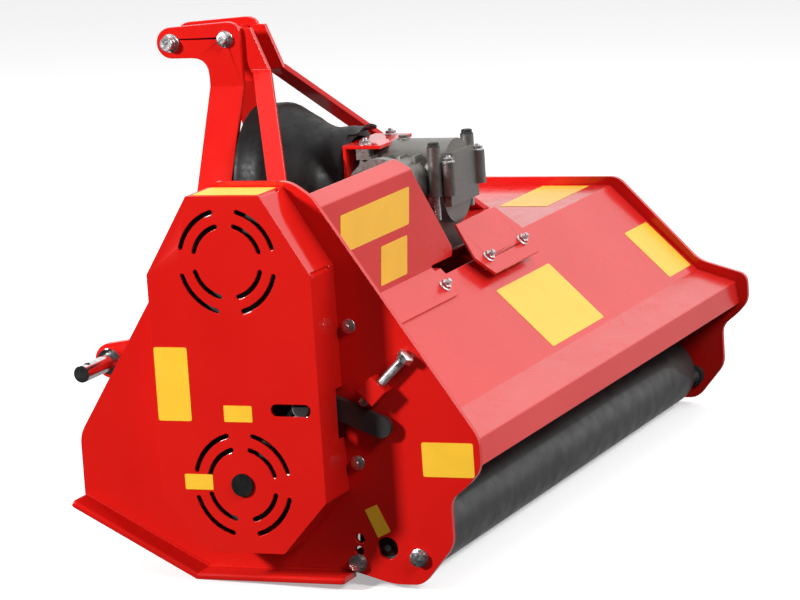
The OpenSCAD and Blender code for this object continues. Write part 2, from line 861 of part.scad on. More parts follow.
// a frame on the hood's slope from its upper fold
module on_slope() {
    translate([0, hood_fold_y, hood_top_z])
        rotate([slope_deg, 0, 0])
            children();
}
module access_plate() {
    outline = [[access_top_left_x, access_high], [access_top_right_x, access_high], [access_right_x,
        access_right_s],
        [access_low_right_x, access_low], [access_low_left_x, access_low], [access_left_x, access_left_s]];
    color([0.84, 0.15, 0.14])
        place()
            on_slope()
                translate([0, 0, access_up])
                    linear_extrude(height = guard_t)
                        difference() {
                            polygon(outline);
                            translate([access_nut_left_x, access_nut_s])
                                circle(small_bolt_r);
                            translate([access_nut_right_x, access_nut_s])
                                circle(small_bolt_r);
                        }
}
module headstock_plate() {
    nose = [top_pin_y, top_pin_z];
    outline = soft(concat([[mast_front_y, hitch_top_z], [mast_front_y, top_pin_z - ear_r]],
        arc(nose, ear_r, -90, 90, end_n), [[mast_rear_y, ear_top_z], [mast_rear_y, hitch_top_z]]),
        concat([0, ear_fillet], [for (k = [0:end_n]) 0], [ear_r, 0]));
    foot_x = -mast_in_x - (mast_bend_z - hitch_top_z) * tan(mast_lean);
    line = [[foot_x, hitch_top_z], [-mast_in_x, mast_bend_z], [-mast_in_x, ear_top_z]];
    difference() {
        intersection() {
            translate([0, top_pin_y + ear_r, 0])
                rotate([90, 0, 0])
                    linear_extrude(height = top_pin_y + ear_r - mast_rear_y)
                        polygon(strip_flat(line, mast_t));
            along_x(-half_w, 0)
                polygon(outline);
        }
        rod_x(-half_w, 0, top_pin_r, top_pin_y, top_pin_z);
        rod_x(-half_w, 0, bolt_r, mast_bolt_y, mast_bolt_z);
    }
}
module headstock_plate_left() {
    color([0.84, 0.09, 0.06])
        place()
            headstock_plate();
}
module headstock_plate_right() {
    color([0.84, 0.09, 0.06])
        place()
            mirror([1, 0, 0])
                headstock_plate();
}
module headstock_brace() {
    top = [[brace_top_y + brace_top_w / 2, brace_top_z], [brace_top_y - brace_top_w / 2, brace_top_z],
        [brace_bend_y - brace_w / 2, brace_bend_z], [brace_bend_y + brace_w / 2, brace_bend_z]];
    drop = brace_bend_z - hood_top_z + mast_t;
    back = drop * tan(brace_rake);
    run = drop / cos(brace_lean);
    low = [[brace_bend_y - brace_w / 2, 0], [brace_bend_y + brace_w / 2, 0],
        [brace_bend_y + brace_w / 2 - back, -run], [brace_bend_y - brace_w / 2 - back, -run]];
    difference() {
        union() {
            along_x(-mast_in_x, -mast_in_x + mast_t)
                polygon(top);
            translate([-mast_in_x + mast_t, 0, brace_bend_z])
                rotate([0, brace_lean, 0])
                    along_x(-mast_t, 0)
                        polygon(low);
        }
        block(-half_w, half_w, 0, top_pin_y, 0, hood_top_z);
    }
}
module headstock_brace_left() {
    color([0.84, 0.09, 0.06])
        place()
            headstock_brace();
}
module headstock_brace_right() {
    color([0.84, 0.09, 0.06])
        place()
            mirror([1, 0, 0])
                headstock_brace();
}
module top_link_pin() {
    reach = mast_in_x + mast_t;
    color([0.72, 0.72, 0.74])
        place() {
            rod_x(-reach - top_pin_out, reach + top_pin_out, top_pin_r, top_pin_y, top_pin_z);
            rod_x(-reach - washer_t, -reach, washer_r, top_pin_y, top_pin_z);
            rod_x(reach, reach + washer_t, washer_r, top_pin_y, top_pin_z);
        }
}
module headstock_bolt() {
    reach = mast_in_x + mast_t;
    color([0.72, 0.72, 0.74])
        place() {
            rod_x(-reach - lift, reach, bolt_r, mast_bolt_y, mast_bolt_z);
            hex_x(-reach - hex_h, -reach, hex_r, mast_bolt_y, mast_bolt_z);
            hex_x(reach, reach + hex_h, hex_r, mast_bolt_y, mast_bolt_z);
        }
}
module headstock_spacer() {
    color([0.84, 0.09, 0.06])
        place()
            difference() {
                rod_x(-mast_in_x, mast_in_x, spacer_r, mast_bolt_y, mast_bolt_z);
                rod_x(-mast_in_x, mast_in_x, bolt_r, mast_bolt_y, mast_bolt_z);
            }
}
module hitch_beam() {
    reach = lug_out_x - lug_t;
    color([0.78, 0.08, 0.06])
        place()
            difference() {
                block(-reach, reach, hitch_rear_y, hitch_front_y, hitch_low_z, hitch_top_z);
                block(-reach, reach, hitch_rear_y + tube_wall, hitch_front_y - tube_wall,
                    hitch_low_z + tube_wall,
                    hitch_top_z - tube_wall);
            }
}
module lower_lug() {
    outline = [[beam_front_y, lower_pin_z + lug_r + lug_rise], [beam_front_y, beam_low_z],
        [lower_pin_y, lower_pin_z - lug_r], [lower_pin_y, lower_pin_z + lug_r]];
    along_x(-lug_out_x, -lug_out_x + lug_t)
        difference() {
            union() {
                polygon(outline);
                translate([lower_pin_y, lower_pin_z])
                    circle(lug_r);
            }
            translate([lower_pin_y, lower_pin_z])
                circle(lower_pin_r);
        }
}
module lower_lug_left() {
    color([0.84, 0.09, 0.06])
        place()
            lower_lug();
}
module lower_lug_right() {
    color([0.84, 0.09, 0.06])
        place()
            mirror([1, 0, 0])
                lower_lug();
}
module lower_hitch_pin() {
    tip = lug_out_x + lower_collar_len + lower_pin_len;
    inner = lug_out_x - lug_t;
    difference() {
        union() {
            rod_x(-tip, -inner, lower_pin_r, lower_pin_y, lower_pin_z);
            rod_x(-lug_out_x - lower_collar_len, -lug_out_x, lower_collar_r, lower_pin_y, lower_pin_z);
            hex_x(-inner, -inner + nut_h, nut_r, lower_pin_y, lower_pin_z);
        }
        rod_z(lower_pin_z - lower_collar_r, lower_pin_z + lower_collar_r, linch_r, -tip + linch_in,
            lower_pin_y);
    }
}
module lower_hitch_pin_left() {
    color([0.80, 0.80, 0.82])
        place()
            lower_hitch_pin();
}
module lower_hitch_pin_right() {
    color([0.80, 0.80, 0.82])
        place()
            mirror([1, 0, 0])
                lower_hitch_pin();
}
module skid() {
    along_x(-plate_out - skid_reach, -half_w)
        polygon(strip(skid_line, -skid_t));
}
module skid_left() {
    color([0.78, 0.08, 0.06])
        place()
            skid();
}
module skid_right() {
    color([0.78, 0.08, 0.06])
        place()
            mirror([1, 0, 0])
                skid();
}
module gearbox_casing() {
    rib_step = (gear_front_y - gear_foot_rear_y) / (rib_n + 1);
    color([0.56, 0.56, 0.55])
        place()
            difference() {
                union() {
                    rod_y(gear_rear_y, gear_front_y, gear_r, 0, drive_z);
                    block(-gear_body_half, gear_body_half, gear_foot_rear_y, gear_front_y, gear_foot_top_z,
                        drive_z);
                    block(-gear_foot_half, gear_foot_half, gear_foot_rear_y, gear_front_y, hood_top_z,
                        gear_foot_top_z);
                    rod_x(-gear_neck_x, 0, gear_neck_r, drive_y, drive_z);
                    rod_x(0, cap_neck_x, cap_neck_r, drive_y, drive_z);
                    rod_y(gear_front_y, nose_front_y, gear_nose_r, 0, drive_z);
                    block(-shield_bracket_half, shield_bracket_half, gear_front_y - 2 * boss_r, gear_front_y,
                        gear_seat_z - gear_foot_t, gear_seat_z);
                    for (i = [1:rib_n])
                        block(-gear_r - rib_t, gear_r + rib_t, gear_foot_rear_y + i * rib_step - rib_t / 2,
                            gear_foot_rear_y + i * rib_step + rib_t / 2, gear_foot_top_z, drive_z + rib_up);
                    for (x = [-side_boss_x, side_boss_x])
                        rod_z(side_boss_low_z, side_boss_top_z, boss_r, x, gear_front_y - boss_r);
                    block(-side_boss_x, side_boss_x, gear_front_y - boss_r - rib_t, gear_front_y - boss_r,
                        side_boss_low_z + step, side_boss_top_z - step);
                    block(-tall_bolt_x, tall_bolt_x, gear_rear_y, tall_bolt_y, tall_ear_low_z,
                        side_boss_top_z);
                    for (x = [-tall_bolt_x, tall_bolt_x])
                        rod_z(tall_ear_low_z, tall_bolt_top_z, tall_ear_half, x, tall_bolt_y);
                }
                rod_y(gear_rear_y + disc_t, gear_front_y - gear_nose_len, cavity_r, 0, drive_z);
                rod_x(-gear_neck_x, 0, shaft_r + run_gap, drive_y, drive_z);
                rod_y(drive_y, nose_front_y, shaft_r + run_gap, 0, drive_z);
                block(-gear_r, gear_r, shield_bracket_rear_y, gear_front_y, gear_seat_z,
                    gear_seat_z + gear_r);
                for (x = [-tall_bolt_x, tall_bolt_x])
                    rod_z(tall_bolt_low_z, tall_bolt_top_z, tall_bolt_r, x, tall_bolt_y);
            }
}
module gearbox_cover() {
    low = gear_cover_low_z;
    high = drive_z + rib_up;
    outline = [[-gear_cover_half, low], [gear_cover_half, low], [gear_cover_half, high - cover_chamfer],
        [gear_cover_half - cover_chamfer, high], [cover_chamfer - gear_cover_half, high],
        [-gear_cover_half, high - cover_chamfer]];
    color([0.60, 0.60, 0.59])
        place()
            union() {
                translate([0, gear_rear_y, 0])
                    rotate([90, 0, 0])
                        linear_extrude(height = gear_cover_t)
                            polygon(outline);
                for (x = [-cover_boss_x, cover_boss_x])
                    rod_z(drive_z - cover_boss_low, drive_z + cover_boss_up, boss_r, x, gear_cover_y);
            }
}
module gearbox_bolts() {
    far = shield_bracket_half - boss_r - washer_t;
    top = gear_seat_z + shield_bracket_t;
    color([0.72, 0.72, 0.74])
        place() {
            for (x = [-tall_bolt_x, tall_bolt_x]) {
                rod_z(tall_bolt_low_z, tall_bolt_top_z, tall_bolt_r, x, tall_bolt_y);
                hex_z(tall_bolt_top_z, tall_bolt_top_z + small_hex_h, small_hex_r, x, tall_bolt_y);
            }
            for (x = [-cover_boss_x, cover_boss_x])
                hex_z(drive_z + cover_boss_up, drive_z + cover_boss_up + small_hex_h, small_hex_r, x,
                    gear_cover_y);
            for (x = [-side_boss_x, side_boss_x])
                hex_z(side_boss_top_z, side_boss_top_z + small_hex_h, small_hex_r, x, gear_front_y - boss_r);
            for (x = [-far, far]) {
                hex_z(top, top + small_hex_h, small_hex_r, x, gear_front_y - boss_r);
                rod_z(top + small_hex_h, top + small_hex_h + washer_t, small_bolt_r, x,
                    gear_front_y - boss_r);
            }
        }
}
module shield_bracket() {
    color([0.80, 0.10, 0.08])
        place() {
            block(-shield_bracket_half, shield_bracket_half, shield_bracket_rear_y, shield_rear_y,
                gear_seat_z, gear_seat_z + shield_bracket_t);
            difference() {
                block(-shield_bracket_half, shield_bracket_half, nose_front_y, shield_rear_y,
                    bracket_low_z, gear_seat_z);
                rod_y(nose_front_y, shield_rear_y, nose_hole_r, 0, drive_z);
            }
        }
}
module pto_shield() {
    wide = shield_front_y - shield_rim_len;
    neck = shield_rear_y + shield_neck_len;
    w = shield_wall;
    outline = [[nose_hole_r, shield_rear_y], [shield_neck_r, shield_rear_y], [shield_neck_r, neck],
        [shield_mid_r, shield_mid_y], [shield_r, wide], [shield_r, shield_front_y], [shield_r - w,
            shield_front_y],
        [shield_r - w, wide + washer_t], [shield_mid_r - w, shield_mid_y + washer_t],
        [shield_neck_r - w, neck + washer_t], [shield_neck_r - w, shield_rear_y + w], [nose_hole_r,
            shield_rear_y + w]];
    color([0.05, 0.05, 0.05])
        place() {
            translate([0, 0, drive_z])
                rotate([-90, 0, 0])
                    rotate_extrude()
                        polygon(outline);
            intersection() {
                difference() {
                    rod_y(tongue_y, shield_rear_y + w, shield_neck_r, 0, drive_z);
                    rod_y(tongue_y, shield_rear_y + w, shield_neck_r - w, 0, drive_z);
                }
                block(-tongue_half, tongue_half, tongue_y, shield_rear_y + w, drive_z, drive_z + shield_r);
            }
        }
}
module shaft_tube() {
    color([0.78, 0.08, 0.06])
        place()
            difference() {
                union() {
                    rod_x(-half_w, -gear_neck_x, tube_r, drive_y, drive_z);
                    rod_x(-half_w, -half_w + tube_flange_t, tube_flange_r, drive_y, drive_z);
                    rod_x(-gear_neck_x - tube_flange_t, -gear_neck_x, tube_flange_r, drive_y, drive_z);
                }
                rod_x(-half_w, -gear_neck_x, tube_bore_r, drive_y, drive_z);
            }
}
module drive_bearing() {
    color([0.55, 0.56, 0.58])
        place()
            difference() {
                rod_x(-half_w, -half_w + bearing_len, tube_bore_r, drive_y, drive_z);
                rod_x(-half_w, -half_w + bearing_len, shaft_r + run_gap, drive_y, drive_z);
            }
}
// a belt's outline off its pitch line
module belt_outline(e) {
    r1 = drive_pulley_r + e;
    r2 = rotor_pulley_r + e;
    translate([drive_y, drive_z])
        circle(r1);
    translate([drive_y, rotor_z])
        circle(r2);
    polygon([[drive_y + r1 * belt_cos, drive_z - r1 * belt_sin], [drive_y - r1 * belt_cos,
        drive_z - r1 * belt_sin],
        [drive_y - r2 * belt_cos, rotor_z - r2 * belt_sin], [drive_y + r2 * belt_cos,
            rotor_z - r2 * belt_sin]]);
}
module drive_belts() {
    color([0.04, 0.04, 0.04])
        place()
            for (i = [0, 1]) {
                x0 = pulley_in_x + land_w + i * (belt_w + land_w) + clear_gap;
                along_x(-x0 - belt_w + 2 * clear_gap, -x0)
                    difference() {
                        belt_outline(belt_t / 2);
                        belt_outline(-belt_t / 2);
                    }
            }
}
// half section of a grooved pulley, axial and radial
module grooved(r) {
    top = r + belt_t / 2 - belt_proud;
    floor_r = r - belt_t / 2 - clear_gap;
    a = land_w;
    b = land_w + belt_w;
    c = 2 * land_w + belt_w;
    d = 2 * land_w + 2 * belt_w;
    rotate_extrude()
        polygon([[shaft_r, 0], [top, 0], [top, a], [floor_r, a], [floor_r, b], [top, b], [top, c],
            [floor_r, c],
            [floor_r, d], [top, d], [top, pulley_w], [shaft_r, pulley_w]]);
}
module drive_pulley() {
    color([0.30, 0.31, 0.32])
        place()
            translate([-pulley_out_x, drive_y, drive_z])
                rotate([0, 90, 0])
                    grooved(drive_pulley_r);
}
module rotor_pulley() {
    color([0.30, 0.31, 0.32])
        place()
            translate([-pulley_out_x, drive_y, rotor_z])
                rotate([0, 90, 0])
                    grooved(rotor_pulley_r);
}
cover_outline = [[drive_y - cover_end_half, cover_top_z], [drive_y - cover_half, cover_high_z],
    [drive_y - cover_half, cover_low_z], [drive_y - cover_end_half, cover_bottom_z],
    [drive_y + cover_end_half, cover_bottom_z], [drive_y + cover_half, cover_low_z],
    [drive_y + cover_half, cover_high_z], [drive_y + cover_end_half, cover_top_z]];
// one curved vent slot with round ends, in each quarter
module vents(r) {
    a = vent_from;
    b = vent_to;
    w = vent_w / 2;
    slot = concat(arc([0, 0], r + w, a, b, vent_n), arc_between(r * [cos(b), sin(b)], w, b, b + 180, round_n),
        arc([0, 0], r - w, b, a, vent_n), arc_between(r * [cos(a), sin(a)], w, a + 180, a + 360, round_n));
    for (q = [0:90:270])
        rotate(q)
            polygon(slot);
}
module cover_face() {
    difference() {
        polygon(cover_outline);
        for (z = [drive_z, rotor_z])
            translate([drive_y, z]) {
                vents(vent_r);
                vents(vent_inner_r);
            }
        translate([drive_y, rotor_z])
            circle(cap_r);
        link([idler_y + window_ahead - window_run, idler_z - window_fall],
            [idler_y + window_ahead + window_run, idler_z - window_fall], window_h / 2);
    }
}
module belt_cover() {
    rear_top = cover_outline[0];
    rear_high = cover_outline[1];
    color([0.84, 0.08, 0.05])
        place()
            difference() {
                union() {
                    along_x(-cover_face_x, -cover_face_x + cover_t)
                        cover_face();
                    along_x(-cover_face_x, -plate_out)
                        difference() {
                            polygon(cover_outline);
                            polygon(inset(cover_outline, cover_t));
                        }
                }
                along_x(-cover_face_x + cover_t, -cover_face_x + cover_depth * relief_share)
                    for (p = [rear_top, rear_high])
                        translate(p)
                            circle(relief_r);
                along_x(-arm_out_x - arm_gap, -plate_out)
                    translate([drive_y - cover_half, (idler_z + tail_z) / 2])
                        square([2 * arm_half, pivot_up], center = true);
            }
}
module cover_cap() {
    color([0.05, 0.05, 0.05])
        place()
            rod_x(-cover_face_x - cap_proud, -cover_face_x + cover_t, cap_r, drive_y, rotor_z);
}
module stud_nuts() {
    color([0.75, 0.75, 0.77])
        place()
            for (z = [stud_low_z, stud_high_z]) {
                rod_x(-plate_out - small_hex_h - washer_t, -plate_out, small_bolt_r, stud_y, z);
                hex_x(-plate_out - small_hex_h, -plate_out, small_hex_r, stud_y, z);
            }
    color([0.75, 0.75, 0.77])
        place() {
            for (x = [access_nut_left_x, access_nut_right_x])
                on_slope()
                    translate([x, access_nut_s, 0]) {
                        rod_z(0, access_up, spacer_tube_r, 0, 0);
                        rod_z(access_up, access_up + guard_t + lift, small_bolt_r, 0, 0);
                        hex_z(access_up + guard_t, access_up + guard_t + small_hex_h, small_hex_r, 0, 0);
                    }
            on_slope()
                translate([-foot_bolt_x, (foot_bolt_y - hood_fold_y) / cos(slope_deg), guard_t]) {
                    rod_z(0, lift, small_bolt_r, 0, 0);
                    hex_z(0, small_hex_h, small_hex_r, 0, 0);
                }
        }
}
// a frame along the tension bolt, z from tip to head
module on_tension() {
    translate([-arm_mid_x, bolt_tip_y, bolt_tip_z])
        rotate([90 - tension_tilt, 0, 0])
            children();
}
module tension_boss() {
    near = boss_off - boss_side / 2;
    color([0.84, 0.09, 0.06])
        place()
            on_tension()
                difference() {
                    block(-boss_side / 2, arm_mid_x - plate_out, -boss_side / 2, boss_side / 2, near,
                        near + boss_side);
                    rod_z(near, near + boss_side, tension_r + run_gap, 0, 0);
                }
}
module tension_pivot() {
    color([0.72, 0.72, 0.74])
        place() {
            rod_x(-arm_out_x - clear_gap, -plate_out, arm_pin_r, idler_y, pivot_z);
            rod_x(-arm_out_x - clear_gap - arm_head_t, -arm_out_x - clear_gap, arm_head_r, idler_y, pivot_z);
        }
}
module tensioner_arm() {
    color([0.06, 0.06, 0.06])
        place() {
            along_x(-arm_out_x, -arm_in_x)
                difference() {
                    union() {
                        link([idler_y, pivot_z], [idler_y, idler_z], arm_half);
                        link([idler_y, idler_z], [tail_y, tail_z], arm_half);
                    }
                    translate([idler_y, pivot_z])
                        circle(arm_pin_r + run_gap);
                }
            rod_x(-pulley_out_x, -arm_out_x, arm_pin_r, idler_y, idler_z);
            rod_x(-pulley_out_x - clear_gap - step, -pulley_out_x - clear_gap, arm_head_r, idler_y, idler_z);
            rod_x(-pulley_out_x - clear_gap, -pulley_out_x, arm_pin_r, idler_y, idler_z);
        }
}
module idler_pulley() {
    color([0.35, 0.36, 0.37])
        place()
            difference() {
                rod_x(-pulley_out_x, -pulley_in_x, idler_r, idler_y, idler_z);
                rod_x(-pulley_out_x, -pulley_in_x, arm_pin_r + run_gap, idler_y, idler_z);
            }
}
module tension_bolt() {
    color([0.78, 0.78, 0.80])
        place()
            on_tension() {
                rod_z(0, tension_len, tension_r, 0, 0);
                rotate(30)
                    hex_z(tension_len - hex_h, tension_len, hex_r, 0, 0);
            }
}
module rotor_bearing(x0, x1) {
    difference() {
        union() {
            rod_x(min(x0, x0 + x1), max(x0, x0 + x1), bearing_hub_r, drive_y, rotor_z);
            rod_x(min(x0, x0 + sign(x1) * bearing_flange_t), max(x0, x0 + sign(x1) * bearing_flange_t),
                bearing_flange_r, drive_y, rotor_z);
        }
        children();
    }
}
module rotor_bearing_left() {
    color([0.25, 0.25, 0.26])
        place()
            rotor_bearing(-half_w, rotor_end_gap - hex_h)
                rod_x(-half_w, -rotor_end_x, shaft_r + run_gap, drive_y, rotor_z);
}
module rotor_bearing_right() {
    color([0.25, 0.25, 0.26])
        place()
            rotor_bearing(plate_out, bearing_reach)
                rod_x(plate_out, right_reach - arm_head_t, shaft_r + run_gap, drive_y, rotor_z);
}
module roller_bracket() {
    along_x(-half_w, -half_w + bracket_t)
        difference() {
            union() {
                link([bracket_rear_y, bracket_rear_z], [roller_y, roller_r], bracket_rim);
                link([roller_y, roller_r], [bracket_front_y, bracket_front_z], bracket_rim);
                translate([roller_y, roller_r])
                    circle(bracket_eye_r);
            }
            translate([bracket_rear_y, bracket_rear_z])
                circle(bolt_r);
            translate([bracket_front_y, bracket_front_z])
                circle(bolt_r);
            translate([roller_y, roller_r])
                circle(roller_axle_r + run_gap);
        }
}
module roller_bracket_left() {
    color([0.20, 0.20, 0.21])
        place()
            roller_bracket();
}
module roller_bracket_right() {
    color([0.20, 0.20, 0.21])
        place()
            mirror([1, 0, 0])
                roller_bracket();
}
module plate_bolt(y, z) {
    rod_x(-plate_out, -half_w + bracket_t, bolt_r, y, z);
    hex_x(-plate_out - hex_h, -plate_out, hex_r, y, z);
    hex_x(-half_w + bracket_t, -half_w + bracket_t + hex_h, hex_r, y, z);
}
module plate_bolts() {
    color([0.75, 0.75, 0.77])
        place()
            for (m = [0, 1])
                mirror([m, 0, 0]) {
                    plate_bolt(bracket_rear_y, bracket_rear_z);
                    plate_bolt(bracket_front_y, bracket_front_z);
                }
    reach = (bearing_flange_r + bearing_hub_r) / 2;
    color([0.72, 0.72, 0.74])
        place()
            for (a = [45:90:315])
                translate([0, drive_y + reach * cos(a), rotor_z + reach * sin(a)]) {
                    hex_x(plate_out + bearing_flange_t, plate_out + bearing_flange_t + small_hex_h,
                        small_hex_r, 0, 0);
                    hex_x(-half_w + bearing_flange_t, -half_w + bearing_flange_t + small_hex_h,
                        small_hex_r, 0, 0);
                }
}
// a frame at a flail's pin, z outwards
module at_flail(i) {
    translate([(i - (flail_n + 1) / 2) * flail_pitch, drive_y, rotor_z])
        rotate([i * flail_turn, 0, 0])
            translate([0, 0, flail_pin_circle])
                children();
}
module rotor() {
    color([0.16, 0.16, 0.17])
        place() {
            difference() {
                rod_x(-rotor_end_x, rotor_end_x, rotor_r, drive_y, rotor_z);
                rod_x(-rotor_end_x + disc_t, rotor_end_x - disc_t, rotor_bore_r, drive_y, rotor_z);
            }
            rod_x(-shaft_end_x, -rotor_end_x, shaft_r, drive_y, rotor_z);
            rod_x(rotor_end_x, right_reach - hex_h, shaft_r, drive_y, rotor_z);
        }
}
module rotor_lugs() {
    gap = flail_t / 2 + clear_gap;
    color([0.16, 0.16, 0.17])
        place()
            difference() {
                for (i = [1:flail_n])
                    at_flail(i)
                        for (x = [-gap - rotor_lug_t, gap])
                            along_x(x, x + rotor_lug_t)
                                difference() {
                                    union() {
                                        circle(rotor_lug_r);
                                        translate([-rotor_lug_r, rotor_bore_r - flail_pin_circle])
                                            square([2 * rotor_lug_r, flail_pin_circle - rotor_bore_r]);
                                    }
                                    circle(flail_pin_r);
                                }
                rod_x(-rotor_end_x, rotor_end_x, rotor_r, drive_y, rotor_z);
            }
}
module flail_pins() {
    reach = flail_t / 2 + clear_gap + rotor_lug_t;
    color([0.60, 0.60, 0.62])
        place()
            for (i = [1:flail_n])
                at_flail(i) {
                    rod_x(-reach, reach, flail_pin_r, 0, 0);
                    rod_x(-reach - step, -reach, flail_pin_r + step, 0, 0);
                    rod_x(reach, reach + step, flail_pin_r + step, 0, 0);
                }
}
module flail(i) {
    tip = flail_tip_r - flail_pin_circle;
    color([0.32, 0.31, 0.30])
        place()
            at_flail(i) {
                along_x(-flail_t / 2, flail_t / 2)
                    difference() {
                        union() {
                            circle(flail_neck / 2);
                            translate([-flail_neck / 2, 0])
                                square([flail_neck, tip - flail_head_h / 2]);
                        }
                        circle(flail_pin_r + run_gap);
                    }
                block(-flail_w / 2, flail_w / 2, -flail_head_half, flail_head_half, tip - flail_head_h, tip);
            }
}
module drive_shaft() {
    a0 = crown_r * face_share;
    back = crown_r + pinion_back;
    color([0.62, 0.62, 0.64])
        place() {
            rod_x(-shaft_end_x, -back, shaft_r, drive_y, drive_z);
            translate([0, drive_y, drive_z])
                rotate([0, -90, 0])
                    rotate_extrude()
                        polygon([[0, a0], [pinion_r * face_share - clear_gap, a0], [pinion_r - clear_gap,
                            crown_r],
                            [pinion_r - clear_gap, back], [0, back]]);
        }
}
module input_shaft() {
    start = drive_y + pinion_r + gear_back;
    color([0.66, 0.66, 0.68])
        place()
            difference() {
                rod_y(start, stub_front_y, shaft_r, 0, drive_z);
                for (i = [0:spline_n - 1])
                    translate([0, stub_front_y, drive_z])
                        rotate([0, i * 360 / spline_n, 0])
                            block(-spline_w / 2, spline_w / 2, shield_rear_y - stub_front_y, 0,
                                shaft_r - spline_deep, shaft_r + spline_deep);
            }
    color([0.45, 0.45, 0.46])
        place()
            translate([0, drive_y, drive_z])
                rotate([-90, 0, 0])
                    rotate_extrude()
                        polygon([[0, pinion_r], [crown_r * face_share / 2, pinion_r * face_share + clear_gap],
                            [crown_r * face_share, pinion_r * face_share + clear_gap],
                            [crown_r, pinion_r + clear_gap], [crown_r, pinion_r + gear_back],
                            [0, pinion_r + gear_back]]);
}
module roller() {
    color([0.15, 0.15, 0.16])
        place() {
            difference() {
                rod_x(-roller_end_x, roller_end_x, roller_r, roller_y, roller_r);
                rod_x(-roller_end_x + disc_t, roller_end_x - disc_t, roller_r - roller_wall, roller_y,
                    roller_r);
            }
            rod_x(-axle_end_x, -roller_end_x, roller_axle_r, roller_y, roller_r);
            rod_x(roller_end_x, axle_end_x, roller_axle_r, roller_y, roller_r);
            rod_x(-axle_end_x - nipple_len, -axle_end_x, nipple_r, roller_y, roller_r);
        }
}
module flail_01() {
    flail(1);
}
module flail_02() {
    flail(2);
}
module flail_03() {
    flail(3);
}
module flail_04() {
    flail(4);
}
module flail_05() {
    flail(5);
}
module flail_06() {
    flail(6);
}
module flail_07() {
    flail(7);
}
module flail_08() {
    flail(8);
}
module flail_09() {
    flail(9);
}
module flail_10() {
    flail(10);
}

// draws every node, or the named one
left_side_plate();
right_side_plate();
hood_sheet();
front_beam();
front_deflector();
shaft_guard();
access_plate();
headstock_plate_left();
headstock_plate_right();
headstock_brace_left();
headstock_brace_right();
top_link_pin();
headstock_bolt();
headstock_spacer();
hitch_beam();
lower_lug_left();
lower_lug_right();
lower_hitch_pin_left();
lower_hitch_pin_right();
skid_left();
skid_right();
gearbox_casing();
gearbox_cover();
gearbox_bolts();
shield_bracket();
pto_shield();
shaft_tube();
drive_bearing();
drive_belts();
belt_cover();
cover_cap();
stud_nuts();
tension_boss();
tension_pivot();
rotor_bearing_left();
rotor_bearing_right();
roller_bracket_left();
roller_bracket_right();
plate_bolts();
rotor();
rotor_lugs();
flail_pins();
rotor_pulley();
drive_shaft();
drive_pulley();
input_shaft();
roller();
tensioner_arm();
idler_pulley();
tension_bolt();
flail_01();
flail_02();
flail_03();
flail_04();
flail_05();
flail_06();
flail_07();
flail_08();
flail_09();
flail_10();
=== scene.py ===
"""Flail mower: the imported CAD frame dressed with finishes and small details, seen from its rear left."""
import json
import math

import bmesh
import bpy
from mathutils import Matrix, Vector


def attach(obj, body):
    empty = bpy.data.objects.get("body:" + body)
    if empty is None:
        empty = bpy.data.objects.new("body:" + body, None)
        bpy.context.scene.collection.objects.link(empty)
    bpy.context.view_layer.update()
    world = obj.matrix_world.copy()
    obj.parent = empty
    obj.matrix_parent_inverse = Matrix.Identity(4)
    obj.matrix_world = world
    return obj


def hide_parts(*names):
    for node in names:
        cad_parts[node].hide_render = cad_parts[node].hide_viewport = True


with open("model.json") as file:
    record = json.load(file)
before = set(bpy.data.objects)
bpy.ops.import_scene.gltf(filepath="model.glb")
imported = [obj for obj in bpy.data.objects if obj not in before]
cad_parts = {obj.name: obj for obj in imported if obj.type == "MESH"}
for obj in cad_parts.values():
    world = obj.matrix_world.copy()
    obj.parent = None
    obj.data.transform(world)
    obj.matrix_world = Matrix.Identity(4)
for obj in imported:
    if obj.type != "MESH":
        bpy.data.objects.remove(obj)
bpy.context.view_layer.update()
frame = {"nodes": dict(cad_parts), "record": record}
nodes = frame["nodes"]

# The machine's own level frame, in millimetres, is turned nose down onto its roller and skids
# to stand in the row frame, which is in metres.
MM = 0.001
STAND_DEG = 2.865619
STAND_SHIFT = (0.0165, -0.224903, 0.000912)
STANCE = Matrix.Translation(STAND_SHIFT) @ Matrix.Rotation(math.radians(-STAND_DEG), 4, "X")

# Camera in the machine's frame: focal length in pixels of an 800 pixel wide frame,
# angles in degrees, place in metres.
FOCAL_PX = 3862.9
FRAME_PX = 800
SENSOR_MM = 36.0
YAW_DEG = 22.93
PITCH_DEG = 10.17
ROLL_DEG = 3.79
CAMERA_PLACE = (-4.6846, -1.775, 1.1621)
CAMERA_REACH = 100.0

EVEN = (1.0, 1.0, 1.0)


def tint(colour, factor, lift=0.0):
    """A lighter or darker version of a colour."""
    return tuple(min(1.0, c * factor + lift) for c in colour)


